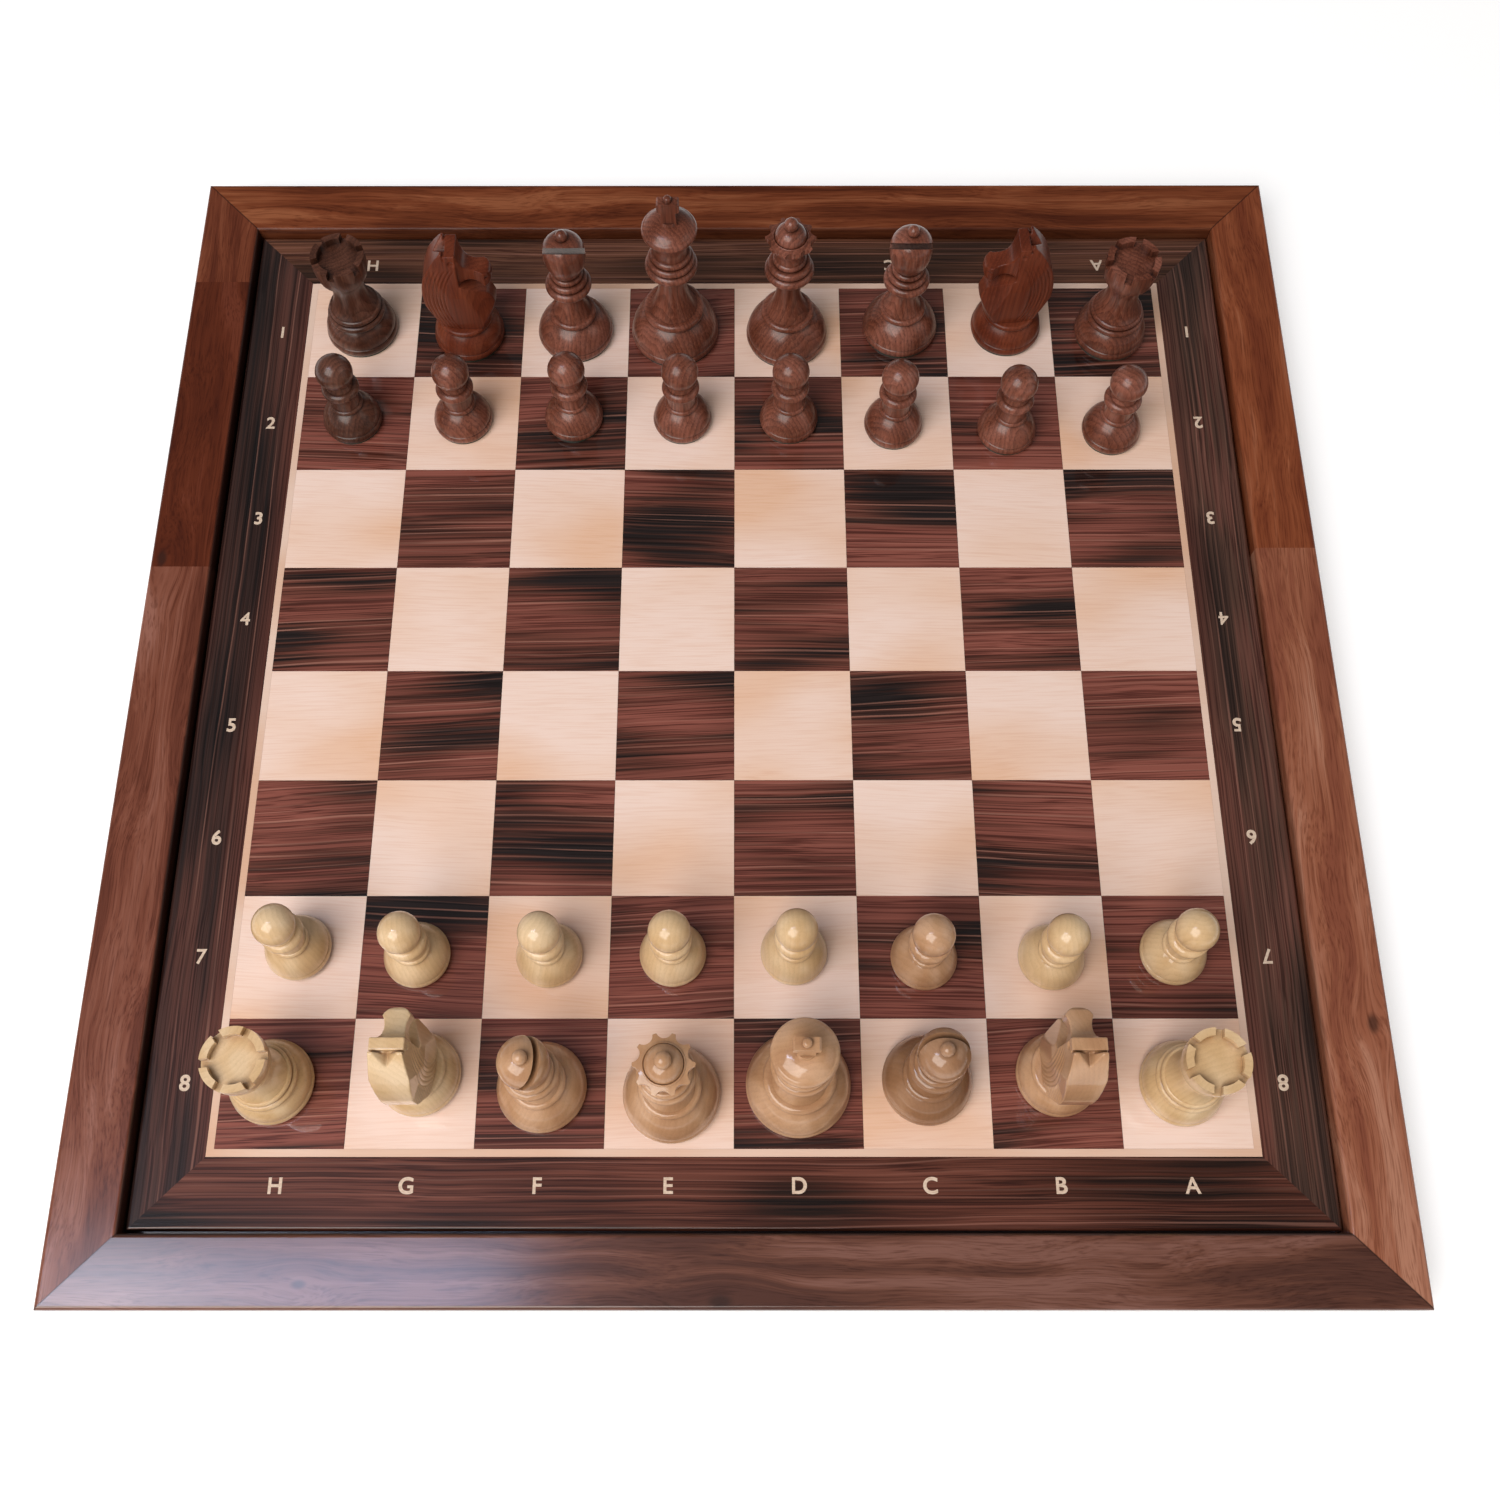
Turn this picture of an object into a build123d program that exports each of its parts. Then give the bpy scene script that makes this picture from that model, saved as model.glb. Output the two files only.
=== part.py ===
"""Chess set on a framed wooden board, with all thirty-two men standing ready to play.

Millimetres, Z up. The origin lies under the middle of the board, on the surface it stands on.
Files run from h on the left to a on the right, and rank 1 is the far row.
"""
import os
from math import cos, dist, radians, sin, sqrt

from build123d import *

os.makedirs("parts", exist_ok=True)

# Board
square = 50.0
squares_across = 8
line_width = 3.0
border_width = 27.0
panel_thickness = 10.0
veneer_thickness = 0.8
backing_thickness = 0.6
glue_line = 0.1
panel_edge_radius = 1.4

# Frame round the board
panel_gap = 1.0
rail_width = 27.0
rail_height = 20.0
rail_above_panel = 5.3
ledge_width = 8.0
rail_edge_radius = 1.6
key_thickness = 3.0
key_wall = 3.0
key_clearance = 0.1

# Feet of the board
foot_radius = 9.0
foot_height = 2.5
foot_inset = 16.0

# Turned foot that all men share
pad_thickness = 1.2
pad_inset = 0.8
glue_film = 0.05
plinth_height = 3.6
plinth_ease = 0.5
groove_width = 0.9
groove_depth = 0.6
dome_swell = 0.1
ring_tuck = 0.42
ring_step = 0.8
stem_hollow = 0.09
tenon_clearance = 0.1
cut_margin = 1.0

# Pawn
pawn_base_radius = 13.35
pawn_step_radius = 7.5
pawn_step_low = 14.8
pawn_step_height = 2.6
pawn_neck_radius = 5.9
pawn_collar_radius = 8.4
pawn_collar_low = 25.2
pawn_collar_height = 5.0
pawn_throat_radius = 4.8
pawn_ball_radius = 8.2
pawn_height = 48.0

# Rook
rook_base_radius = 16.5
rook_ring_radius = 13.2
rook_ring_low = 14.2
rook_ring_height = 3.4
rook_bead_radius = 12.0
rook_bead_height = 3.0
rook_waist_radius = 7.9
rook_waist_height = 38.5
rook_crown_low = 43.5
rook_crown_foot_radius = 11.0
rook_crown_radius = 11.9
rook_well_radius = 9.0
rook_well_depth = 3.6
rook_notch_width = 3.2
rook_notches = 6
rook_height = 55.6

# Knight: turned foot and carved head
knight_base_radius = 16.3
knight_ring_radius = 12.4
knight_ring_low = 14.2
knight_ring_height = 3.0
knight_tenon_radius = 4.0
knight_tenon_length = 6.0
knight_seat_half = 12.0
knight_foot_taper = 17.0
knight_mane_back = 15.6
knight_mane_height = 33.0
knight_ear_height = 66.8
knight_ear_thickness = 0.9
knight_brow_back = -1.4
knight_brow_front = 3.0
knight_brow_height = 65.5
knight_throat_reach = 2.5
knight_throat_height = 47.0
knight_chest_reach = 16.0
knight_chest_top_reach = 13.2
knight_chest_top_height = 38.4
knight_chest_height = 32.0
knight_chest_edge = 12.0
knight_chest_slope = (9.7, -5.8)
knight_cheek_half = 9.0
knight_cheek_height = 40.0
knight_ear_half = 6.2
knight_back_start = -3.0
knight_back_half = 6.2
knight_brow_gap = 0.8
knight_brow_gap_depth = 2.2
knight_notch_width = 8.4
knight_notch_height = 62.0

# Face of the knight: forehead, nose, chin and jaw from the side, waist and muzzle from above
knight_nose_bridge = (12.5, 55.5)
knight_nose_top = (16.2, 50.8)
knight_nose_tip = (17.0, 48.0)
knight_chin = (13.4, 43.6)
knight_jaw = (8.0, 47.2)
knight_face_waist = (7.6, 4.1)
knight_muzzle = (13.5, 5.2)

# Bishop
bishop_base_radius = 17.5
bishop_ring_radius = 10.8
bishop_ring_low = 15.6
bishop_ring_height = 3.4
bishop_waist_radius = 5.7
bishop_collar_low = 35.8
bishop_collar_radii = (10.5, 8.9, 7.2)
bishop_collar_heights = (4.6, 3.4, 3.0)
bishop_mitre_radius = 9.4
bishop_mitre_height = 60.5
bishop_mitre_swell = 1.2
bishop_crest_swell = 2.4
bishop_tip_radius = 1.9
bishop_ball_radius = 2.7
bishop_slot_width = 2.6
bishop_slot_tilt = 50.0
bishop_slot_height = 59.0
bishop_height = 73.6

# Queen
queen_base_radius = 18.9
queen_ring_radius = 12.2
queen_ring_low = 17.7
queen_ring_height = 3.6
queen_waist_radius = 6.3
queen_collar_low = 48.0
queen_collar_radii = (11.1, 9.7, 7.5)
queen_collar_heights = (4.6, 3.6, 3.2)
queen_neck_radius = 6.3
queen_coronet_radius = 11.1
queen_coronet_height = 71.6
queen_rim_height = 1.6
queen_points = 10
queen_scallop_radius = 3.0
queen_scallop_depth = 2.1
queen_ridge_radius = 7.9
queen_dome_radius = 7.0
queen_tip_radius = 2.1
queen_ball_radius = 3.1
queen_height = 83.2

# King
king_base_radius = 20.4
king_ring_radius = 14.0
king_ring_low = 17.7
king_ring_height = 4.0
king_waist_radius = 7.0
king_collar_low = 48.8
king_collar_radii = (11.8, 10.6, 9.2)
king_collar_heights = (4.6, 3.6, 3.4)
king_neck_radius = 7.6
king_crown_radius = 12.2
king_crown_height = 77.0
king_crown_edge = 4.4
king_crown_top = 79.8
king_cross_foot_radius = 3.7
king_cross_foot_height = 1.5
king_cross_foot_taper = 20.0
king_cross_stem_width = 7.1
king_cross_neck_width = 6.2
king_cross_arm_width = 9.6
king_cross_arm_height = 4.8
king_cross_arm_ease = 0.7
king_cross_thickness = 4.4
king_cross_tenon_radius = 2.0
king_cross_tenon_length = 5.0
king_knob_radius = 1.7
king_knob_rise = 2.4
king_knob_round = 1.1
king_height = 95.3

# How far each man was set down from the middle of its square, files h to a
dark_back_nudge = [(-1, 1.5), (0, -1.4), (0, -0.5), (-3, 0), (-0.5, -2), (3, 2), (3, 1.8), (2, -0.8)]
dark_pawn_nudge = [(-1, 1), (0, 1), (1, 2), (1, 1), (0, 1), (-2, -2), (0, -5), (-2, -5)]
light_pawn_nudge = [(0, 3), (-2, 0), (1, 0), (0.5, 0.4), (-1, 1), (1, -1), (2, -1), (1, 1)]
light_back_nudge = [(-4.7, 0), (2.4, 2.9), (0.4, -2), (0.8, -4.5), (0, -1), (0, 0.7), (1, 2.8), (-1, -0.6)]

# Which way the front of each back-row man faces, in degrees from the right, files h to a
dark_back_turn = [20, 0, -90, -90, -90, -90, 183, 13]
light_back_turn = [8, 90, 0, 90, 90, 90, 90, 22]

files = "hgfedcba"
dark_back_row = ["rook", "knight", "bishop", "king", "queen", "bishop", "knight", "rook"]
light_back_row = ["rook", "knight", "bishop", "queen", "king", "bishop", "knight", "rook"]

# Heights and half widths that follow from the sizes above
field_half = square * squares_across / 2
line_half = field_half + line_width
panel_half = line_half + border_width
rail_inner = panel_half + panel_gap
rail_outer = rail_inner + rail_width
frame_low = foot_height
frame_top = frame_low + rail_height
play_top = frame_top - rail_above_panel
panel_low = play_top - panel_thickness
core_low = panel_low + backing_thickness
core_top = play_top - veneer_thickness
key_middle = frame_low + rail_height / 2
key_diagonal = sqrt(2) * (rail_width - 2 * key_wall)
key_width = 0.4 * key_diagonal
key_length = key_diagonal - key_width
wood_low = pad_thickness + glue_film


def keep(piece, name):
    piece.part.label = name
    export_step(piece.part, f"parts/{name}.step")


def turned_plane(angle, origin=(0, 0, 0)):
    """A level plane whose own X axis points angle degrees round from the board's."""
    return Plane(origin=origin, x_dir=(cos(radians(angle)), sin(radians(angle)), 0), z_dir=(0, 0, 1))


def mitred_bar(section, reach):
    """Extrude a front bar's section both ways along X and cut its ends back to the mitres."""
    with BuildPart() as bar:
        extrude(section, amount=reach, both=True)
        split(bisect_by=Plane(origin=(0, 0, 0), z_dir=(1, 1, 0)), keep=Keep.BOTTOM)
        split(bisect_by=Plane(origin=(0, 0, 0), z_dir=(-1, 1, 0)), keep=Keep.BOTTOM)
    return bar.part


# Frame: four mitred rails, each with a ledge for the panel, keyed at the corners
with BuildSketch(Plane.YZ) as rail_section:
    with BuildLine():
        Polyline(
            (-rail_outer, frame_low),
            (-rail_outer, frame_top),
            (-rail_inner, frame_top),
            (-rail_inner, panel_low),
            (ledge_width - rail_inner, panel_low),
            (ledge_width - rail_inner, frame_low),
            close=True,
        )
    make_face()
    top_corners = rail_section.vertices().group_by(Axis.Y)[-1]
    fillet(top_corners, radius=min(rail_edge_radius, rail_above_panel / 2, rail_width / 3))
front_rail = mitred_bar(rail_section.sketch, rail_outer + cut_margin)

corner_middle = (rail_inner + rail_outer) / 2


def corner_key(clearance):
    """A loose tongue across each mitre, or the slot for it where clearance is given."""
    with BuildPart() as keys:
        for angle in (45, 135, 225, 315):
            away = corner_middle * sqrt(2)
            middle = (away * cos(radians(angle)), away * sin(radians(angle)), key_middle)
            with BuildSketch(turned_plane(angle, middle)):
                Rectangle(key_width + 2 * clearance, key_length + 2 * clearance)
            extrude(amount=key_thickness / 2 + clearance, both=True)
    return keys.part


key_slots = corner_key(key_clearance)
for name, angle in (("rail_front", 0), ("rail_right", 90), ("rail_back", 180), ("rail_left", 270)):
    with BuildPart(turned_plane(angle)) as rail:
        add(front_rail)
        add(key_slots, mode=Mode.SUBTRACT)
    keep(rail, name)

with BuildPart() as keys:
    add(corner_key(0))
keep(keys, "corner_keys")

with BuildPart() as feet:
    foot_place = rail_outer - foot_inset
    with BuildSketch(Plane.XY):
        with GridLocations(2 * foot_place, 2 * foot_place, 2, 2):
            Circle(foot_radius)
    extrude(amount=foot_height)
keep(feet, "foot_pads")

# Panel: core with a backing sheet, a solid border, a thin pale line and sixty-four squares
with BuildPart() as core:
    with BuildSketch(Plane.XY.offset(core_low)):
        Rectangle(2 * line_half, 2 * line_half)
    extrude(amount=core_top - core_low)
keep(core, "panel_core")

with BuildPart() as backing:
    with BuildSketch(Plane.XY.offset(panel_low)):
        Rectangle(2 * line_half, 2 * line_half)
    extrude(amount=backing_thickness)
keep(backing, "backing_sheet")

with BuildSketch(Plane.YZ) as border_section:
    with Locations((-(line_half + panel_half) / 2, (panel_low + play_top) / 2)):
        Rectangle(border_width, panel_thickness)
    outer_top = border_section.vertices().group_by(Axis.Y)[-1].sort_by(Axis.X)[0]
    fillet(outer_top, radius=min(panel_edge_radius, panel_thickness / 3, border_width / 3))
front_border = mitred_bar(border_section.sketch, panel_half + cut_margin)
for name, angle in (("border_front", 0), ("border_right", 90), ("border_back", 180), ("border_left", 270)):
    with BuildPart(turned_plane(angle)) as border:
        add(front_border)
    keep(border, name)

with BuildPart() as line:
    with BuildSketch(Plane.XY.offset(core_top)):
        Rectangle(2 * line_half - 2 * glue_line, 2 * line_half - 2 * glue_line)
        Rectangle(2 * field_half, 2 * field_half, mode=Mode.SUBTRACT)
    extrude(amount=veneer_thickness)
keep(line, "pale_line")

for name, odd in (("dark_squares", 0), ("light_squares", 1)):
    with BuildPart() as tiles:
        with BuildSketch(Plane.XY.offset(core_top)):
            for row in range(squares_across):
                for column in range(squares_across):
                    if (row + column) % 2 == odd:
                        place = ((column + 0.5) * square - field_half, (row + 0.5) * square - field_half)
                        with Locations(place):
                            Rectangle(square - glue_line, square - glue_line)
        extrude(amount=veneer_thickness)
    keep(tiles, name)


# Strokes of the turning tool, drawn on the half profile as (radius, height)
def bowed(start, end, bow):
    """An arc from start to end that bows outwards, or inwards where bow is negative."""
    run = dist(start, end)
    out = (end[1] - start[1]) / run
    up = (start[0] - end[0]) / run
    middle = ((start[0] + end[0]) / 2 + bow * out, (start[1] + end[1]) / 2 + bow * up)
    ThreePointArc(start, middle, end)
    return end


def stroke(start, *points):
    """Straight strokes from start through the points, passing over one that lies where it starts."""
    corners = [start]
    for point in points:
        if dist(point, corners[-1]) > glue_film / 10:
            corners.append(point)
    if len(corners) > 1:
        Polyline(*corners)
    return corners[-1]


def disc(start, radius, height):
    """A turned disc with a half-round edge, standing on start's height."""
    edge = radius - height / 2
    low = stroke(start, (edge, start[1]))
    return bowed(low, (edge, start[1] + height), height / 2)


def bead(start, radius, height):
    """A round bead that swells from start out to radius and closes in again."""
    swell = min(radius - start[0], height / 2)
    return bowed(start, (start[0], start[1] + height), swell)


def turned_foot(base_radius, ring_radius, ring_low, ring_height):
    """Plinth, incised line, dome and ring, from the axis outwards and up."""
    side = base_radius - plinth_ease
    groove_low = wood_low + plinth_height
    corner = stroke((0, wood_low), (side, wood_low))
    corner = bowed(corner, (side, groove_low), plinth_ease)
    groove_top = groove_low + groove_width
    corner = stroke(corner, (side - groove_depth, (groove_low + groove_top) / 2), (side, groove_top))
    dome_top = (ring_radius - ring_tuck * ring_height, ring_low)
    corner = bowed(corner, dome_top, dome_swell * dist(corner, dome_top))
    return bead(corner, ring_radius, ring_height)


def stem(start, waist_radius, waist_height):
    """A stem that hollows in from the ring to the waist."""
    waist = (waist_radius, waist_height)
    shoulder = stroke(start, ((start[0] + waist_radius + ring_step) / 2 + ring_step, start[1]))
    return bowed(shoulder, waist, -stem_hollow * dist(shoulder, waist))


def collar(start, radii, heights):
    """Three discs, each smaller than the one below it."""
    for radius, height in zip(radii, heights):
        start = disc(start, radius, height)
    return start


def ball_seat(neck_radius, radius, top):
    """The height where a ball that ends at top rests on a neck."""
    return top - radius - sqrt(radius**2 - neck_radius**2)


def ball(start, radius, top):
    """The round head from start up over the top."""
    ThreePointArc(start, (radius, top - radius), (0, top))
    return (0, top)


def turn(draw):
    """Revolve the half profile that draw makes; it starts and ends on the axis."""
    with BuildPart() as turned:
        with BuildSketch(Plane.XZ):
            with BuildLine():
                top = draw()
                Line(top, (0, wood_low))
            make_face()
        revolve(axis=Axis.Z)
    return turned.part


def felt_pad(base_radius):
    with BuildPart() as pad:
        with BuildSketch(Plane.XY):
            Circle(base_radius - pad_inset)
        extrude(amount=pad_thickness)
    return pad.part


def pawn_profile():
    point = turned_foot(pawn_base_radius, pawn_step_radius, pawn_step_low, pawn_step_height)
    point = bowed(point, (pawn_neck_radius, pawn_collar_low), -(point[0] - pawn_neck_radius) / 3)
    point = disc(point, pawn_collar_radius, pawn_collar_height)
    point = stroke(point, (pawn_throat_radius, ball_seat(pawn_throat_radius, pawn_ball_radius, pawn_height)))
    return ball(point, pawn_ball_radius, pawn_height)


def rook_profile():
    point = turned_foot(rook_base_radius, rook_ring_radius, rook_ring_low, rook_ring_height)
    bead_foot = rook_bead_radius - rook_bead_height / 3
    point = stroke(point, (bead_foot, point[1]))
    point = bead(point, rook_bead_radius, rook_bead_height)
    point = stem(point, rook_waist_radius, rook_waist_height)
    flare = (rook_crown_foot_radius, rook_crown_low)
    point = bowed(point, flare, -(flare[0] - point[0]) / 4)
    well_floor = rook_height - rook_well_depth
    point = bowed(point, (rook_crown_radius, rook_height), (rook_crown_radius - rook_crown_foot_radius) / 2)
    return stroke(
        point,
        (rook_well_radius, rook_height),
        (rook_well_radius, well_floor),
        (0, well_floor),
    )


def knight_profile():
    point = turned_foot(knight_base_radius, knight_ring_radius, knight_ring_low, knight_ring_height)
    return stroke(point, (0, point[1]))


def bishop_profile():
    point = turned_foot(bishop_base_radius, bishop_ring_radius, bishop_ring_low, bishop_ring_height)
    point = stem(point, bishop_waist_radius, bishop_collar_low)
    point = collar(point, bishop_collar_radii, bishop_collar_heights)
    point = stroke(point, (bishop_waist_radius, point[1]))
    point = bowed(point, (bishop_mitre_radius, bishop_mitre_height), bishop_mitre_swell)
    tip = (bishop_tip_radius, ball_seat(bishop_tip_radius, bishop_ball_radius, bishop_height))
    point = bowed(point, tip, bishop_crest_swell)
    return ball(point, bishop_ball_radius, bishop_height)


def queen_profile():
    point = turned_foot(queen_base_radius, queen_ring_radius, queen_ring_low, queen_ring_height)
    point = stem(point, queen_waist_radius, queen_collar_low)
    point = collar(point, queen_collar_radii, queen_collar_heights)
    point = stroke(point, (queen_neck_radius, point[1]))
    flare = (queen_coronet_radius - queen_rim_height / 3, queen_coronet_height - queen_rim_height)
    point = bowed(point, flare, -(flare[0] - point[0]) / 3)
    point = stroke(
        point,
        (queen_coronet_radius, queen_coronet_height),
        (queen_ridge_radius, queen_coronet_height + queen_rim_height / 2),
    )
    point = bowed(point, (queen_dome_radius, point[1]), (queen_ridge_radius - queen_dome_radius) / 2)
    tip = (queen_tip_radius, ball_seat(queen_tip_radius, queen_ball_radius, queen_height))
    point = bowed(point, tip, queen_dome_radius / 5)
    return ball(point, queen_ball_radius, queen_height)


def king_profile():
    point = turned_foot(king_base_radius, king_ring_radius, king_ring_low, king_ring_height)
    point = stem(point, king_waist_radius, king_collar_low)
    point = collar(point, king_collar_radii, king_collar_heights)
    point = stroke(point, (king_neck_radius, point[1]))
    edge = king_crown_radius - king_crown_edge / 3
    point = bowed(point, (edge, king_crown_height - king_crown_edge), -(edge - king_neck_radius) / 4)
    point = bowed(point, (edge, king_crown_height), king_crown_edge / 3)
    seat = (king_cross_foot_radius, king_crown_top)
    point = bowed(point, seat, dist(point, seat) / 10)
    return stroke(point, (0, king_crown_top))


with BuildPart() as pawn:
    add(turn(pawn_profile))

with BuildPart() as rook:
    add(turn(rook_profile))
    with BuildSketch(Plane.XY.offset(rook_height)):
        with PolarLocations(rook_crown_radius, rook_notches):
            Rectangle(2 * (rook_crown_radius - rook_well_radius + cut_margin), rook_notch_width)
    extrude(amount=-rook_well_depth, mode=Mode.SUBTRACT)

knight_seat = knight_ring_low + knight_ring_height
with BuildPart() as knight:
    add(turn(knight_profile))
    with BuildSketch(Plane.XY.offset(knight_seat)):
        Circle(knight_tenon_radius + tenon_clearance)
    extrude(amount=-knight_tenon_length - tenon_clearance, mode=Mode.SUBTRACT)

with BuildPart() as bishop:
    add(turn(bishop_profile))
    slot_plane = Plane(origin=(0, 0, bishop_slot_height), x_dir=(0, 1, 0), z_dir=(
        -sin(radians(bishop_slot_tilt)), 0, cos(radians(bishop_slot_tilt))))
    slot_reach = 2 * bishop_mitre_radius
    with BuildSketch(slot_plane):
        with Locations((0, -slot_reach / 2)):
            Rectangle(2 * slot_reach, slot_reach)
    extrude(amount=bishop_slot_width, mode=Mode.SUBTRACT)

with BuildPart() as queen:
    add(turn(queen_profile))
    scallop_place = queen_coronet_radius + queen_scallop_radius - queen_scallop_depth
    with BuildSketch(Plane.XY.offset(queen_coronet_height + queen_ridge_radius)):
        with PolarLocations(scallop_place, queen_points):
            Circle(queen_scallop_radius)
    extrude(amount=-2 * queen_ridge_radius, mode=Mode.SUBTRACT)

with BuildPart() as king:
    add(turn(king_profile))
    with BuildSketch(Plane.XY.offset(king_crown_top)):
        Circle(king_cross_tenon_radius + tenon_clearance)
    extrude(amount=-king_cross_tenon_length - tenon_clearance, mode=Mode.SUBTRACT)

# Cross of the king: a foot, a stem, two short arms and a knob, held by a tenon
cross_arm_top = king_height - king_knob_rise
cross_arm_low = cross_arm_top - king_cross_arm_height
cross_stem_low = king_crown_top + king_cross_foot_height / 2
stem_half = king_cross_stem_width / 2
neck_half = king_cross_neck_width / 2
arm_half = king_cross_arm_width / 2
with BuildPart() as king_cross:
    with BuildSketch(Plane.XY.offset(king_crown_top)):
        Circle(king_cross_foot_radius)
    extrude(amount=king_cross_foot_height, taper=king_cross_foot_taper)
    with BuildSketch(Plane.YZ):
        with BuildLine():
            half = Polyline(
                (0, cross_stem_low),
                (stem_half, cross_stem_low),
                (neck_half, cross_arm_low - king_cross_arm_ease),
                (arm_half, cross_arm_low),
                (arm_half, cross_arm_top - king_cross_arm_ease),
                (arm_half - king_cross_arm_ease, cross_arm_top),
                (0, cross_arm_top),
            )
            mirror(half, about=Plane.YZ)
        make_face()
    extrude(amount=king_cross_thickness / 2, both=True)
    with BuildSketch(Plane.XY.offset(cross_arm_top)):
        Circle(king_knob_radius)
    extrude(amount=king_knob_rise)
    knob_edge = king_cross.faces().sort_by(Axis.Z)[-1].edges()
    fillet(knob_edge, radius=min(king_knob_round, king_knob_radius * 0.9, king_knob_rise * 0.9))
    with BuildSketch(Plane.XY.offset(king_crown_top)):
        Circle(king_cross_tenon_radius)
    extrude(amount=-king_cross_tenon_length)

# Face of the knight, muzzle towards +X: the side view cut to a waisted plan
with BuildPart() as knight_face:
    with BuildSketch(Plane.XZ):
        with BuildLine():
            brow = (knight_brow_front, knight_brow_height)
            throat = (knight_throat_reach, knight_throat_height)
            Polyline(
                throat,
                (0, knight_throat_height),
                (0, knight_brow_height),
                brow,
                knight_nose_bridge,
                knight_nose_top,
            )
            ThreePointArc(knight_nose_top, knight_nose_tip, knight_chin)
            ThreePointArc(knight_chin, knight_jaw, throat)
        make_face()
    extrude(amount=knight_cheek_half, both=True)
    with BuildSketch(Plane.XY.offset(knight_seat)):
        with BuildLine():
            cheek = (knight_brow_front, knight_ear_half)
            straight = Line((0, knight_ear_half), cheek)
            hollow = ThreePointArc(cheek, knight_face_waist, knight_muzzle)
            mirror([straight, hollow], about=Plane.XZ)
            ThreePointArc(knight_muzzle, (knight_nose_tip[0], 0), (knight_muzzle[0], -knight_muzzle[1]))
            Line((0, knight_ear_half), (0, -knight_ear_half))
        make_face()
    extrude(amount=knight_ear_height, mode=Mode.INTERSECT)

# Head of the knight: chest, neck and mane between flat flanks, ears with a notch behind, and the face
with BuildPart() as knight_head:
    with BuildSketch(Plane.XZ):
        with BuildLine():
            mane_low = (-knight_seat_half, knight_seat)
            ear_front = knight_brow_back - knight_brow_gap
            gap_floor = knight_brow_height - knight_brow_gap_depth
            ear_back = (ear_front - knight_ear_thickness, knight_ear_height)
            chest_top = (knight_chest_top_reach, knight_chest_top_height)
            chest_low = (knight_seat_half, knight_seat)
            ThreePointArc(mane_low, (-knight_mane_back, knight_mane_height), ear_back)
            Polyline(
                ear_back,
                (ear_front, knight_ear_height),
                (ear_front, gap_floor),
                (knight_brow_back, gap_floor),
                (knight_brow_back, knight_brow_height),
                brow,
                throat,
                chest_top,
            )
            ThreePointArc(chest_top, (knight_chest_reach, knight_chest_height), chest_low)
            Line(chest_low, mane_low)
        make_face()
    extrude(amount=knight_cheek_half, both=True)
    with BuildSketch(Plane.YZ):
        with BuildLine():
            flank = Polyline(
                (0, knight_seat),
                (knight_cheek_half, knight_seat),
                (knight_cheek_half, knight_cheek_height),
                (knight_ear_half, knight_ear_height),
                (0, knight_ear_height),
            )
            mirror(flank, about=Plane.YZ)
        make_face()
    extrude(amount=2 * knight_mane_back, both=True, mode=Mode.INTERSECT)
    with BuildSketch(Plane.XY.offset(knight_seat)):
        with BuildLine():
            plan = Polyline(
                (-knight_mane_back, 0),
                (-knight_mane_back, knight_back_half),
                (knight_back_start, knight_cheek_half),
                (2 * knight_chest_reach, knight_cheek_half),
                (2 * knight_chest_reach, 0),
            )
            mirror(plan, about=Plane.XZ)
        make_face()
    extrude(amount=knight_ear_height, mode=Mode.INTERSECT)
    with BuildSketch(Plane.XY.offset(knight_seat)):
        Circle(knight_ring_radius)
    extrude(amount=knight_ear_height, taper=-knight_foot_taper, mode=Mode.INTERSECT)
    for side in (1, -1):
        edge_low = (knight_chest_edge, side * knight_cheek_half)
        edge_lean = (knight_throat_reach - knight_chest_edge, 0, knight_throat_height - knight_seat)
        with BuildSketch(Plane.XY.offset(knight_seat)):
            with BuildLine():
                far_x = knight_chest_edge + 2 * knight_chest_slope[0]
                Polyline(
                    edge_low,
                    (far_x, side * (knight_cheek_half + 2 * knight_chest_slope[1])),
                    (far_x, side * (knight_cheek_half + cut_margin)),
                    (knight_chest_edge, side * (knight_cheek_half + cut_margin)),
                    close=True,
                )
            make_face()
        extrude(amount=dist(edge_lean, (0, 0, 0)), dir=edge_lean, mode=Mode.SUBTRACT)
    add(knight_face.part)
    with BuildSketch(Plane.YZ.offset(knight_brow_back)):
        with BuildLine():
            notch = Polyline(
                (0, knight_notch_height),
                (knight_notch_width / 2, knight_ear_height),
                (knight_notch_width / 2, knight_ear_height + cut_margin),
                (0, knight_ear_height + cut_margin),
            )
            mirror(notch, about=Plane.YZ)
        make_face()
    extrude(amount=-2 * knight_mane_back, mode=Mode.SUBTRACT)
    with BuildSketch(Plane.XY.offset(knight_seat)):
        Circle(knight_tenon_radius)
    extrude(amount=-knight_tenon_length)

turned_men = {"pawn": pawn, "rook": rook, "knight": knight, "bishop": bishop, "queen": queen, "king": king}
base_radii = {
    "pawn": pawn_base_radius,
    "rook": rook_base_radius,
    "knight": knight_base_radius,
    "bishop": bishop_base_radius,
    "queen": queen_base_radius,
    "king": king_base_radius,
}


def set_down(colour, kind, column, rank, nudge, turn_angle):
    """Stand one man on its square, with the pieces that are glued to it."""
    file = files[column]
    across = (column - (squares_across - 1) / 2) * square + nudge[0]
    along = ((squares_across + 1) / 2 - rank) * square + nudge[1]
    spot = turned_plane(turn_angle, (across, along, play_top))
    with BuildPart(spot) as man:
        add(turned_men[kind].part)
        add(felt_pad(base_radii[kind]))
    keep(man, f"{colour}_{kind}_{file}")
    if kind == "knight":
        with BuildPart(spot) as head:
            add(knight_head.part)
        keep(head, f"{colour}_knight_head_{file}")
    if kind == "king":
        with BuildPart(spot) as cross:
            add(king_cross.part)
        keep(cross, f"{colour}_king_cross_{file}")


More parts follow.
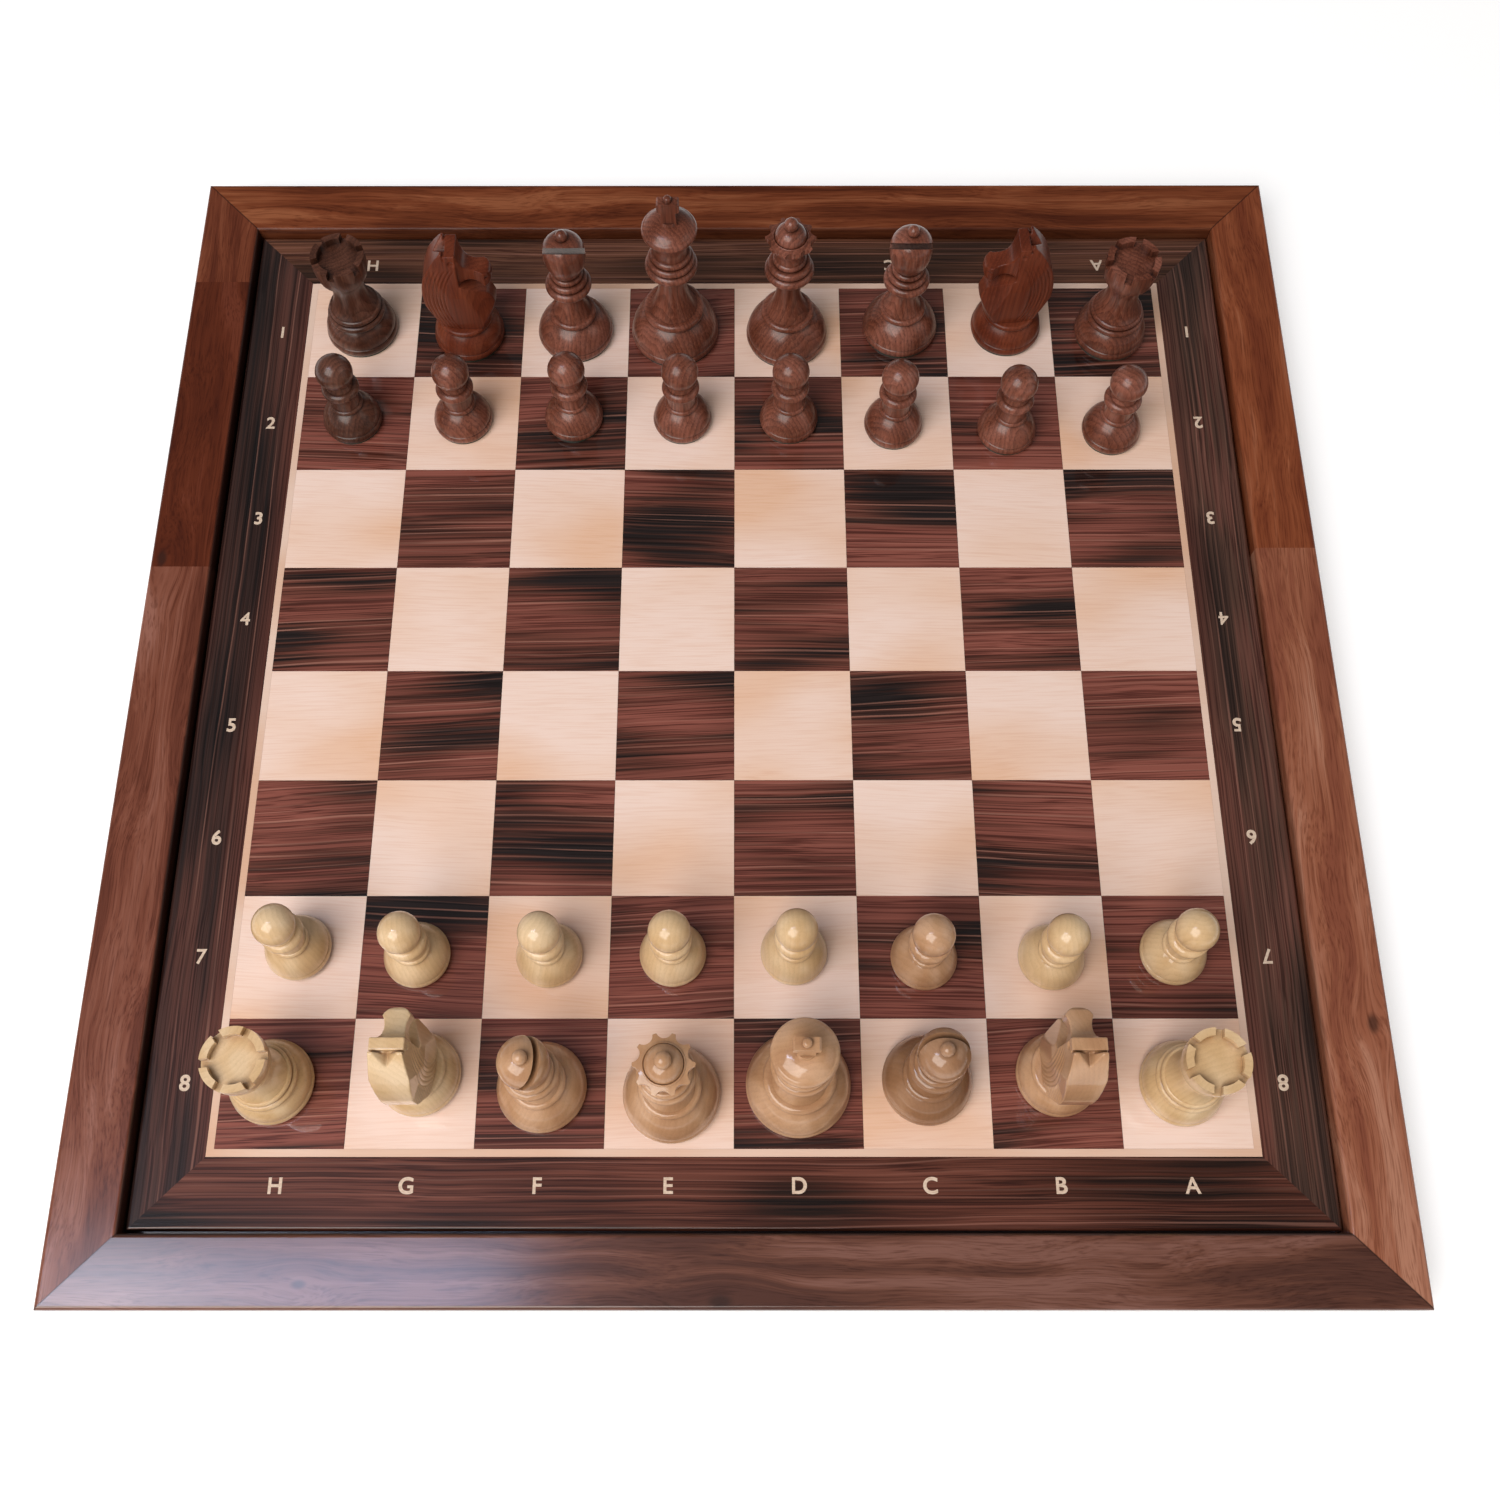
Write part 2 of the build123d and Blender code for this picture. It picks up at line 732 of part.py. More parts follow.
for column in range(squares_across):
    set_down("dark", dark_back_row[column], column, 1, dark_back_nudge[column], dark_back_turn[column])
    set_down("dark", "pawn", column, 2, dark_pawn_nudge[column], 0)
    set_down("light", "pawn", column, 7, light_pawn_nudge[column], 0)
    set_down("light", light_back_row[column], column, 8, light_back_nudge[column], light_back_turn[column])
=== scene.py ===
# %% [markdown]
# # A chess set standing ready on its board
# The solids come from the CAD model, already in metres and in place. This lesson gives them their woods,
# carves the knights' heads, prints the notation, and sets up a plain studio with the photograph's camera.

# %% Load the solids
from math import exp, radians

import bmesh
import bpy
from mathutils import Matrix, Vector


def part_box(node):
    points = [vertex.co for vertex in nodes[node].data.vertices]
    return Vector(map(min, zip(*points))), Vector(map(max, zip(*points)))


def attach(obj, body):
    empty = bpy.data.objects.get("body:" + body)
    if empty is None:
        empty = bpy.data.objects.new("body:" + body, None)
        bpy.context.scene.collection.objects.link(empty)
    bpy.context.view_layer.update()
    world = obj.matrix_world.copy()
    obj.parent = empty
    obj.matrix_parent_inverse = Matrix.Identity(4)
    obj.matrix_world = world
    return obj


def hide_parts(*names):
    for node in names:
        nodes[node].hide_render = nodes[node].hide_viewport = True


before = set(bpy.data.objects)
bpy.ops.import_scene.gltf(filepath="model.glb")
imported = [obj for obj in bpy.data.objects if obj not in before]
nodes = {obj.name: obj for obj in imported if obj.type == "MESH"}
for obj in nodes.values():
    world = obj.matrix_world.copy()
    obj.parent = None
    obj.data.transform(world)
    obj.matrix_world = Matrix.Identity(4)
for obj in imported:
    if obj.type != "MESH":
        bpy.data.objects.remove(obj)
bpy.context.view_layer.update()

# %% [markdown]
# ## Camera
# The view looks steeply down over the near rail. Its place, angle and lens were worked out from the corners
# of the squares, so a 1500 pixel frame shows the board where the photograph does. A small shift moves the
# picture's centre to where the lens really pointed.

# %% Camera
frame_pixels = 1500
focal_pixels = 1578.95
centre_pixels = (738.28, 697.0)

lens = bpy.data.cameras.new("photo_camera")
lens.sensor_fit = "HORIZONTAL"
lens.sensor_width = 36.0
lens.lens = focal_pixels * lens.sensor_width / frame_pixels
lens.shift_x = 0.5 - centre_pixels[0] / frame_pixels
lens.shift_y = centre_pixels[1] / frame_pixels - 0.5
lens.clip_start = 0.01
camera = bpy.data.objects.new("photo_camera", lens)
camera.location = (0.0022, -0.2695, 0.6449)
camera.rotation_euler = (radians(22.292), radians(0.046), radians(-0.008))
bpy.context.scene.collection.objects.link(camera)
bpy.context.scene.camera = camera
print("camera lens in mm", round(lens.lens, 2))

# %% [markdown]
# ## Small helpers
# Colours are given as sRGB hex codes, but Blender's sockets take linear light, so one function
# turns one into the other. A second adds any node, sets what it is given and links what comes from elsewhere:
# it serves materials, the world and Geometry Nodes alike. The others start a material and place an object.

# %% Helpers for colours, nodes and objects
def colour(code):
    """A hex code as linear red, green and blue, with a full alpha."""
    channels = [int(code[i : i + 2], 16) / 255 for i in (1, 3, 5)]
    return (*(c / 12.92 if c <= 0.04045 else ((c + 0.055) / 1.055) ** 2.4 for c in channels), 1.0)


def put(tree, kind, inputs=(), out=0, ramp=(), **settings):
    """Add a node, and give back one of its outputs, or the node itself where out is None."""
    made = tree.nodes.new(kind)
    for name, value in settings.items():
        setattr(made, name, value)
    for key, value in dict(inputs).items():
        if isinstance(value, bpy.types.NodeSocket):
            tree.links.new(value, made.inputs[key])
        else:
            made.inputs[key].default_value = value
    for number, (place, code) in enumerate(ramp):
        stops = made.color_ramp.elements
        stop = stops[number] if number < 2 else stops.new(place)
        stop.position = place
        stop.color = colour(code)
    return made if out is None else made.outputs[out]


def new_tree(name):
    """A new material and its empty node tree."""
    made = bpy.data.materials.new(name)
    made.use_nodes = True
    made.node_tree.nodes.clear()
    return made, made.node_tree


def add_object(name, data):
    """Put a new object into the scene."""
    made = bpy.data.objects.new(name, data)
    bpy.context.scene.collection.objects.link(made)
    return made


print("mid grey in linear light", round(colour("#808080")[0], 3))

# %% [markdown]
# ## Studio
# The photograph is a cut-out on white with faint, soft shadows towards the right and the far side, so a large
# softbox stands high at the near left, where the highlights on the round heads place it. A long cool one
# overhead lays the pale sheen on the near rail, and the world fills the rest. The world is brightest near the
# horizon: a bright zenith would mirror in the lacquer and turn the dark squares grey. The floor adds a little
# light of its own, only for the camera and for rays that were mirrored or let through, so it reads as white
# and still shows the shadow.

# %% Softboxes, world and floor
def softbox(name, place, aim, size, watts, tint):
    """A rectangular lamp of the given size in metres, turned towards a point."""
    lamp = bpy.data.lights.new(name, "AREA")
    lamp.shape = "RECTANGLE"
    lamp.size, lamp.size_y = size
    lamp.energy = watts
    lamp.color = colour(tint)[:3]
    box = add_object(name, lamp)
    box.location = place
    box.rotation_euler = (Vector(aim) - Vector(place)).to_track_quat("-Z", "Y").to_euler()


softbox("softbox_near_left", (-0.85, -1.1, 1.75), (0, 0, 0.03), (1.7, 1.7), 53.5, "#fffaf4")
softbox("softbox_right", (1.5, -0.2, 1.1), (0, 0, 0.03), (1.0, 1.0), 2.5, "#fff6ec")
softbox("softbox_overhead", (-0.64, -0.2, 1.6), (-0.64, -0.2, 0), (0.7, 0.1), 3.2, "#c2d4ff")

world = bpy.data.worlds.new("studio")
world.use_nodes = True
sky = world.node_tree
sky.nodes.clear()
ray = put(sky, "ShaderNodeTexCoord", out="Generated")
height = put(sky, "ShaderNodeSeparateXYZ", {0: ray}, out="Z")
greys = [(0.0, "#a8a8a8"), (0.4, "#8c8c8c"), (0.8, "#606060")]
glow = put(sky, "ShaderNodeValToRGB", {0: height}, ramp=greys)
light = put(sky, "ShaderNodeBackground", {"Color": glow})
put(sky, "ShaderNodeOutputWorld", {"Surface": light}, out=None)
bpy.context.scene.world = world
bpy.context.scene.view_settings.view_transform = "Standard"

floor_glow = 0.45
floor_side = 30.0
floor_gap = 0.0002
paper, tree = new_tree("white_paper_floor")
rays = put(tree, "ShaderNodeLightPath", out=None).outputs
seen = put(tree, "ShaderNodeMath", {0: rays["Is Camera Ray"], 1: rays["Is Glossy Ray"]}, operation="MAXIMUM")
seen = put(tree, "ShaderNodeMath", {0: seen, 1: rays["Is Transmission Ray"]}, operation="MAXIMUM")
lift = put(tree, "ShaderNodeMath", {0: seen, 1: floor_glow}, operation="MULTIPLY")
matt = {"Base Color": colour("#e2e2e2"), "Roughness": 1.0, "Specular IOR Level": 0.0}
sheet = put(
    tree,
    "ShaderNodeBsdfPrincipled",
    {**matt, "Emission Color": colour("#ffffff"), "Emission Strength": lift},
)
put(tree, "ShaderNodeOutputMaterial", {"Surface": sheet}, out=None)
bpy.ops.mesh.primitive_plane_add(size=floor_side, location=(0, 0, -floor_gap))
floor = bpy.context.object
floor.name = "floor"
floor.data.materials.append(paper)
print("lamps", len(bpy.data.lights))

# %% [markdown]
# ## How wood is drawn
# Wood is a bundle of long fibres, so its figure is noise drawn out along the grain. `grain_space` gives the
# place in millimetres with x along the grain, and can jump at random from square to square, because every
# square and every man was cut from another piece. `streaks` draws the noise at a stated length and width.
# `finish` adds the surface: a faint relief along the pores, and lacquer or polish on top.

# %% Grain helpers
square_mm = 50.0
jump_mm = 700.0
lean_degrees = 3.5
wander_marks = (120.0, 38.0)
dressed = []


def in_mm(tree):
    """The place on the object in millimetres."""
    place = put(tree, "ShaderNodeTexCoord", out="Object")
    return put(tree, "ShaderNodeVectorMath", {0: place, "Scale": 1000.0}, operation="SCALE")


def square_lot(tree, space):
    """The square that a place lies in, and three numbers from 0 to 1 drawn by lot for it."""
    pitch = (1 / square_mm, 1 / square_mm, 0.0)
    square = put(tree, "ShaderNodeVectorMath", {0: space, 1: pitch}, operation="MULTIPLY")
    square = put(tree, "ShaderNodeVectorMath", {0: square}, operation="FLOOR")
    return square, put(tree, "ShaderNodeTexWhiteNoise", {"Vector": square}, out="Color")


def grain_space(tree, along, per_square=False, shift=(0.0, 0.0, 0.0), wander=0.0):
    """The place in millimetres with x along the grain, which strays sideways by up to wander."""
    space = in_mm(tree)
    if per_square:
        chance = square_lot(tree, space)[1]
        jump = put(tree, "ShaderNodeVectorMath", {0: chance, "Scale": jump_mm}, operation="SCALE")
        space = put(tree, "ShaderNodeVectorMath", {0: space, 1: jump}, operation="ADD")
        luck = put(tree, "ShaderNodeSeparateXYZ", {0: chance}, out="X")
        lean = {0: luck, 3: radians(-lean_degrees), 4: radians(lean_degrees)}
        lean = put(tree, "ShaderNodeMapRange", lean)
        space = put(tree, "ShaderNodeVectorRotate", {"Vector": space, "Angle": lean}, rotation_type="Z_AXIS")
    space = put(tree, "ShaderNodeVectorMath", {0: space, 1: shift}, operation="ADD")
    split = put(tree, "ShaderNodeSeparateXYZ", {0: space}, out=None)
    order = {"X": "XYZ", "Y": "YXZ", "Z": "ZXY"}[along]
    space = put(tree, "ShaderNodeCombineXYZ", {n: split.outputs[axis] for n, axis in enumerate(order)})
    if wander:
        bend = streaks(tree, space, *wander_marks)
        push = put(tree, "ShaderNodeMapRange", {0: bend, 3: -wander, 4: wander}, clamp=False)
        sideways = put(tree, "ShaderNodeCombineXYZ", {1: push, 2: push})
        space = put(tree, "ShaderNodeVectorMath", {0: space, 1: sideways}, operation="ADD")
    return space


def streaks(tree, space, long, wide, detail=2.0):
    """Noise drawn out along the grain, in marks about so many millimetres long and wide."""
    share = (1 / long, 1 / wide, 1 / wide)
    thin = put(tree, "ShaderNodeVectorMath", {0: space, 1: share}, operation="MULTIPLY")
    return put(tree, "ShaderNodeTexNoise", {"Vector": thin, "Scale": 1.0, "Detail": detail})


def blend(tree, share, under, over, **settings):
    """Lay one colour over another by a share."""
    return put(tree, "ShaderNodeMix", {0: share, 6: under, 7: over}, out=2, data_type="RGBA", **settings)


def from_middle(tree, space):
    """Distances from the board's middle along both sides in mm, and the larger of the two."""
    sizes = put(tree, "ShaderNodeVectorMath", {0: space}, operation="ABSOLUTE")
    sizes = put(tree, "ShaderNodeSeparateXYZ", {0: sizes}, out=None).outputs
    larger = put(tree, "ShaderNodeMath", {0: sizes["X"], 1: sizes["Y"]}, operation="MAXIMUM")
    return sizes["X"], sizes["Y"], larger


def finish(tree, shade, pores, relief_mm, roughness, coat, coat_roughness):
    """Wood under polish: a relief along the pores, a dull body, and a clear coat."""
    bump = put(tree, "ShaderNodeBump", {"Height": pores, "Strength": 1.0, "Distance": relief_mm / 1000})
    surface = put(
        tree,
        "ShaderNodeBsdfPrincipled",
        {
            "Base Color": shade,
            "Roughness": roughness,
            "IOR": 1.5,
            "Specular IOR Level": 0.12,
            "Coat Weight": coat,
            "Coat Roughness": coat_roughness,
            "Normal": bump,
        },
    )
    put(tree, "ShaderNodeOutputMaterial", {"Surface": surface}, out=None)


def dress(material, *names):
    """Give nodes their material, and keep their names."""
    for name in names:
        nodes[name].material_slots[0].material = material
        dressed.append(name)


print("nodes to dress", len(nodes))

# %% [markdown]
# ## Macassar ebony
# The dark squares and the border are sliced macassar ebony under gloss lacquer: red-brown wood with cloudy
# patches that run almost black, fine darker lines and thin pale threads. The patches are a broad noise sent
# through a colour ramp. For the threads the width is cut into lanes that sway a little: each lane holds one
# line of even width, and the lane's number draws by lot how strongly it shows. Squares jump from piece to
# piece and lean a little, while a border strip is one length, redder along its inner edge.

# %% Macassar ebony for the squares and the border
border_inner_mm = 203.0
red_edge_mm = 9.0
red_edge = "#6e3d32"
ebony_stops = (0.36, 0.41, 0.46, 0.52, 0.6)
band_share = 0.36
lane_mm = 3.4
thread_tone = "#b27c6b"
# A thread comes up between these two places in its lane, whose middle is 0.5
thread_edge = (0.38, 0.45)


def macassar(name, along, tones, per_square=False, shift=(0.0, 0.0, 0.0), pale=0.6, edge=0.0):
    """Sliced macassar ebony, lacquered: black clouds, red-brown ground, pale threads and a mirror gloss."""
    material, tree = new_tree(name)
    space = grain_space(tree, along, per_square, shift, wander=2.5)
    clouds = streaks(tree, space, 100.0, 22.0, 1.0)
    bands = streaks(tree, space, 320.0, 1.7, 3.0)
    depth = put(tree, "ShaderNodeMix", {0: band_share, 2: clouds, 3: bands})
    shade = put(tree, "ShaderNodeValToRGB", {0: depth}, ramp=list(zip(ebony_stops, tones)))
    redness = put(
        tree,
        "ShaderNodeMapRange",
        {
            0: from_middle(tree, grain_space(tree, along))[2],
            1: border_inner_mm,
            2: border_inner_mm + red_edge_mm,
            3: edge,
            4: 0.0,
        },
    )
    shade = blend(tree, redness, shade, colour(red_edge))
    lines = streaks(tree, space, 140.0, 0.65, 2.0)
    shading = put(tree, "ShaderNodeValToRGB", {0: lines}, ramp=[(0.38, "#ad9c99"), (0.54, "#ffffff")])
    shade = blend(tree, 1.0, shade, shading, blend_type="MULTIPLY")
    across = put(tree, "ShaderNodeSeparateXYZ", {0: space}, out="Y")
    sway = put(
        tree,
        "ShaderNodeMapRange",
        {0: streaks(tree, space, 260.0, 9.0, 1.0), 3: -lane_mm, 4: lane_mm},
        clamp=False,
    )
    lanes = put(tree, "ShaderNodeMath", {0: across, 1: sway}, operation="ADD")
    lanes = put(tree, "ShaderNodeMath", {0: lanes, 1: lane_mm}, operation="DIVIDE")
    lane = put(tree, "ShaderNodeMath", {0: lanes}, operation="FLOOR")
    lot = put(tree, "ShaderNodeTexWhiteNoise", {"W": lane}, out="Value", noise_dimensions="1D")
    strength = put(tree, "ShaderNodeMapRange", {0: lot, 1: 0.2, 2: 1.0, 3: 0.0, 4: pale})
    away = put(tree, "ShaderNodeMath", {0: lanes, 1: 0.5}, operation="PINGPONG")
    thread = put(tree, "ShaderNodeMapRange", {0: away, 1: thread_edge[0], 2: thread_edge[1]})
    breaks = streaks(tree, space, 45.0, 4.0, 1.0)
    faded = put(tree, "ShaderNodeMapRange", {0: breaks, 1: 0.36, 2: 0.56, 3: 0.35})
    strength = put(tree, "ShaderNodeMath", {0: strength, 1: faded}, operation="MULTIPLY")
    strength = put(tree, "ShaderNodeMath", {0: strength, 1: thread}, operation="MULTIPLY")
    shade = blend(tree, strength, shade, colour(thread_tone))
    pores = streaks(tree, space, 5.0, 0.35, 1.0)
    finish(tree, shade, pores, 0.004, 0.35, 1.0, 0.035)
    return material


square_tones = ("#221918", "#412720", "#63382d", "#7a453a", "#8b5044")
left_tones = ("#181212", "#261a18", "#34221e", "#422a24", "#54332b")
right_tones = ("#2c1e19", "#37261f", "#422e26", "#4e362c", "#643f35")
near_tones = ("#1e0e07", "#2f170e", "#452318", "#582f23", "#6b3d30")
far_tones = ("#2e1b12", "#3a2317", "#472b1c", "#593727", "#6b4331")
dress(macassar("macassar_squares", "X", square_tones, per_square=True), "dark_squares")
dress(macassar("macassar_left", "Y", left_tones, shift=(31, 4, 0), pale=0.35, edge=0.5), "border_left")
dress(macassar("macassar_right", "Y", right_tones, shift=(480, 90, 0), pale=0.3, edge=0.5), "border_right")
dress(macassar("macassar_near", "X", near_tones, shift=(15, 60, 0), pale=0.35), "border_front")
dress(macassar("macassar_far", "X", far_tones, shift=(700, 33, 0), pale=0.3), "border_back")
print("nodes dressed", len(dressed))

# %% [markdown]
# ## Maple
# The light squares and the thin line round the field are maple veneer. Its figure is faint: soft patches of
# warmer tone, and short fine fibres. The tone differs a little from square to square.

# %% Maple for the light squares and the line
maple_stops = (0.32, 0.46, 0.62)


def maple(name, per_square, tones, fibre):
    """Sliced maple, lacquered: pale peach with soft warm patches and hair-fine fibres."""
    material, tree = new_tree(name)
    space = grain_space(tree, "X", per_square, wander=3.0)
    patches = streaks(tree, space, 75.0, 45.0, 1.0)
    ground = put(tree, "ShaderNodeValToRGB", {0: patches}, ramp=list(zip(maple_stops, tones)))
    fibres = streaks(tree, space, 20.0, 0.7, 2.0)
    shading = put(tree, "ShaderNodeValToRGB", {0: fibres}, ramp=[(0.3, fibre), (0.55, "#ffffff")])
    shade = blend(tree, 1.0, ground, shading, blend_type="MULTIPLY")
    finish(tree, shade, fibres, 0.002, 0.38, 1.0, 0.04)
    return material


square_maple = ("#e9bfa2", "#eecdb9", "#f3d8ca")
line_maple = ("#d9b095", "#dfbca6", "#e5c8b6")
dress(maple("maple_squares", True, square_maple, "#f9f2ed"), "light_squares")
dress(maple("maple_line", False, line_maple, "#fdfaf8"), "pale_line")
print("nodes dressed", len(dressed))

# %% [markdown]
# ## Walnut rails
# The frame is solid walnut with a satin finish: fine long lines over a soft cloudy figure. The side rails are
# glued up from shorter lengths, so their figure and tone jump at each joint: every length brings its own
# colours and starts at a stated place along the rail. Round a knot the grain opens, which a bulge in the
# coordinates gives, and the knot itself is a dark spot. A thin glue line marks the mitres, where both
# distances from the middle are equal, and the edge towards the panel is darkened with painted shade.

# %% Walnut for the four rails
rail_inner_mm = 231.0
rail_top_mm = 22.5
next_board = (190.0, 77.0, 31.0)
walnut_stops = (0.38, 0.46, 0.54, 0.63)
flow_share = 0.3
knot_stretch = (0.55, 1.0, 0.6)
knot_reach = 6.0
knot_pull = 0.9
knot_core = 0.3
knot_depth = 0.7
knot_tone = "#2b1a15"
glue_and_shade_tone = "#1d0f0b"
# Glue line and painted shade are full up to the first distance in mm, and gone at the second
glue_mm = (0.15, 0.6)
glue_depth = 0.75
inner_shade_mm = (0.3, 1.2)


def walnut(name, along, lengths, shift, knots=(), sheen=0.35, inner_shade=0.85):
    """Planed walnut, satin lacquer: fine brown lines, soft clouds, a broad soft sheen and painted shade
    inside.
    """
    material, tree = new_tree(name)
    plain = grain_space(tree, along)
    split = put(tree, "ShaderNodeSeparateXYZ", {0: plain}, out=None).outputs
    space = grain_space(tree, along, shift=shift, wander=13.0)
    passes = []
    for start, _ in lengths[1:]:
        passed = put(tree, "ShaderNodeMath", {0: split["X"], 1: start}, operation="GREATER_THAN")
        other_board = {0: next_board, "Scale": passed}
        other_board = put(tree, "ShaderNodeVectorMath", other_board, operation="SCALE")
        space = put(tree, "ShaderNodeVectorMath", {0: space, 1: other_board}, operation="ADD")
        passes.append(passed)
    dark_spot = 0.0
    for knot_along, knot_across, knot_size in knots:
        centre = (knot_along, knot_across, rail_top_mm)
        off = put(tree, "ShaderNodeVectorMath", {0: plain, 1: centre}, operation="SUBTRACT")
        flat = put(tree, "ShaderNodeVectorMath", {0: off, 1: knot_stretch}, operation="MULTIPLY")
        reach = put(tree, "ShaderNodeVectorMath", {0: flat}, out="Value", operation="LENGTH")
        near = put(
            tree,
            "ShaderNodeMapRange",
            {0: reach, 1: 0.0, 2: knot_reach * knot_size, 3: -knot_pull, 4: 0.0},
            interpolation_type="SMOOTHSTEP",
        )
        bulge = put(tree, "ShaderNodeVectorMath", {0: off, "Scale": near}, operation="SCALE")
        bulge = put(tree, "ShaderNodeVectorMath", {0: bulge, 1: (0.0, 1.0, 0.0)}, operation="MULTIPLY")
        space = put(tree, "ShaderNodeVectorMath", {0: space, 1: bulge}, operation="ADD")
        spot = put(
            tree,
            "ShaderNodeMapRange",
            {0: reach, 1: knot_core * knot_size, 2: knot_size, 3: knot_depth, 4: 0.0},
            interpolation_type="SMOOTHSTEP",
        )
        dark_spot = put(tree, "ShaderNodeMath", {0: dark_spot, 1: spot}, operation="MAXIMUM")
    figure = streaks(tree, space, 120.0, 11.0, 1.0)
    flow = streaks(tree, space, 180.0, 1.6, 2.0)
    depth = put(tree, "ShaderNodeMix", {0: flow_share, 2: figure, 3: flow})
    shade = put(tree, "ShaderNodeValToRGB", {0: depth}, ramp=list(zip(walnut_stops, lengths[0][1])))
    for passed, (_, tones) in zip(passes, lengths[1:]):
        other = put(tree, "ShaderNodeValToRGB", {0: depth}, ramp=list(zip(walnut_stops, tones)))
        shade = blend(tree, passed, shade, other)
    pores = streaks(tree, space, 16.0, 0.55, 2.0)
    shading = put(tree, "ShaderNodeValToRGB", {0: pores}, ramp=[(0.32, "#d2c6c0"), (0.52, "#ffffff")])
    shade = blend(tree, 1.0, shade, shading, blend_type="MULTIPLY")
    shade = blend(tree, dark_spot, shade, colour(knot_tone))
    side_x, side_y, larger = from_middle(tree, plain)
    apart = put(tree, "ShaderNodeMath", {0: side_x, 1: side_y}, operation="SUBTRACT")
    apart = put(tree, "ShaderNodeMath", {0: apart}, operation="ABSOLUTE")
    glue = {0: apart, 1: glue_mm[0], 2: glue_mm[1], 3: glue_depth, 4: 0.0}
    glue = put(tree, "ShaderNodeMapRange", glue)
    # Painted shade: the inner face and edge towards the panel are darkened, by a share set for each rail
    shade_full, shade_end = (rail_inner_mm + width for width in inner_shade_mm)
    painted_shade = {0: larger, 1: shade_full, 2: shade_end, 3: inner_shade, 4: 0.0}
    painted_shade = put(tree, "ShaderNodeMapRange", painted_shade)
    # The glue line at the mitres is a real dark joint; the darkening at the inner edge is painted shade
    glue_and_shade = put(tree, "ShaderNodeMath", {0: glue, 1: painted_shade}, operation="MAXIMUM")
    shade = blend(tree, glue_and_shade, shade, colour(glue_and_shade_tone))
    finish(tree, shade, pores, 0.008, 0.42, sheen, 0.16)
    return material


dark_walnut = ("#4b1e0f", "#552412", "#5d2916", "#683220")
corner_walnut = ("#582818", "#65311e", "#713a25", "#804831")
red_walnut = ("#723720", "#804227", "#8b4b2e", "#9d5f42")
pale_walnut = ("#623324", "#73402f", "#804d3c", "#905f50")
tan_walnut = ("#834a36", "#925840", "#9d644c", "#ae7961")
near_walnut = ("#4f2e24", "#5d382b", "#6a4234", "#7b5347")
far_walnut = ("#532513", "#67331c", "#783e24", "#905537")
left_lengths = ((-260.0, pale_walnut), (48.0, dark_walnut), (200.0, corner_walnut))
right_lengths = ((-260.0, tan_walnut), (57.0, red_walnut))
right_knots = ((-153.0, 251.0, 3.0),)
near_knots = ((-161.0, -249.0, 2.2), (-5.0, -255.0, 3.4))
dress(walnut("walnut_left", "Y", left_lengths, (40, 11, 0), ((52.0, -253.0, 3.0),)), "rail_left")
dress(walnut("walnut_right", "Y", right_lengths, (900, 52, 0), right_knots, 0.35, 0.2), "rail_right")
dress(walnut("walnut_near", "X", ((-260.0, near_walnut),), (300, 0, 0), near_knots, 1.0), "rail_front")
far_rail = walnut("walnut_far", "X", ((-260.0, far_walnut),), (1500, 23, 0), (), 0.12, 0.45)
dress(far_rail, "rail_back", "corner_keys")
print("nodes dressed", len(dressed))

# %% [markdown]
# ## Boxwood and rosewood
# The men are turned and polished: the light ones boxwood, the dark ones rosewood. Their grain stands upright,
# so it shows as fine lines up the stems, and as growth rings where the turning cuts across it on heads and
# feet. The rings run round a heart that lies elsewhere for every man. Boxwood is almost plain under a bright
# polish, rosewood has strong lines and a satin one. No two men match, so each wood comes in three tones.
# The creases between the turned rings are darkened with painted shade, by the share of open air around
# a point. The lowest 1.2 mm is the felt glued underneath, told apart from the wood by its height.

# %% Woods of the men
play_top_mm = 17.2
felt_mm = 1.2
felt_tone = "#2f3a30"
men_stops = (0.36, 0.5, 0.64)
fleck_share = 0.6
# The painted shade in a crease is darkest at the first share of open air, and ends at the second
crease_shade_air = (0.35, 0.9)
crease_shade_depth = 0.75
ring_mm = 1.9
heart_reach = (110.0, 110.0, 0.0)
heart_from = (-30.0, -30.0, 0.0)
ring_taper = (1.0, 1.0, 0.15)


def growth_rings(tree, space):
    """Share of late wood, from 0 to 1 in each ring, round a heart that lies elsewhere for every man."""
    place = in_mm(tree)
    square, chance = square_lot(tree, place)
    heart = {0: chance, 1: heart_reach, 2: heart_from}
    heart = put(tree, "ShaderNodeVectorMath", heart, operation="MULTIPLY_ADD")
    corner = put(tree, "ShaderNodeVectorMath", {0: square, "Scale": square_mm}, operation="SCALE")
    off = put(tree, "ShaderNodeVectorMath", {0: place, 1: corner}, operation="SUBTRACT")
    off = put(tree, "ShaderNodeVectorMath", {0: off, 1: heart}, operation="SUBTRACT")
    off = put(tree, "ShaderNodeVectorMath", {0: off, 1: ring_taper}, operation="MULTIPLY")
    reach = put(tree, "ShaderNodeVectorMath", {0: off}, out="Value", operation="LENGTH")
    sway = {0: streaks(tree, space, 70.0, 8.0, 1.0), 3: -ring_mm, 4: ring_mm}
    sway = put(tree, "ShaderNodeMapRange", sway, clamp=False)
    rings = put(tree, "ShaderNodeMath", {0: reach, 1: sway}, operation="ADD")
    rings = put(tree, "ShaderNodeMath", {0: rings, 1: ring_mm}, operation="DIVIDE")
    return put(tree, "ShaderNodeMath", {0: rings}, operation="FRACT")


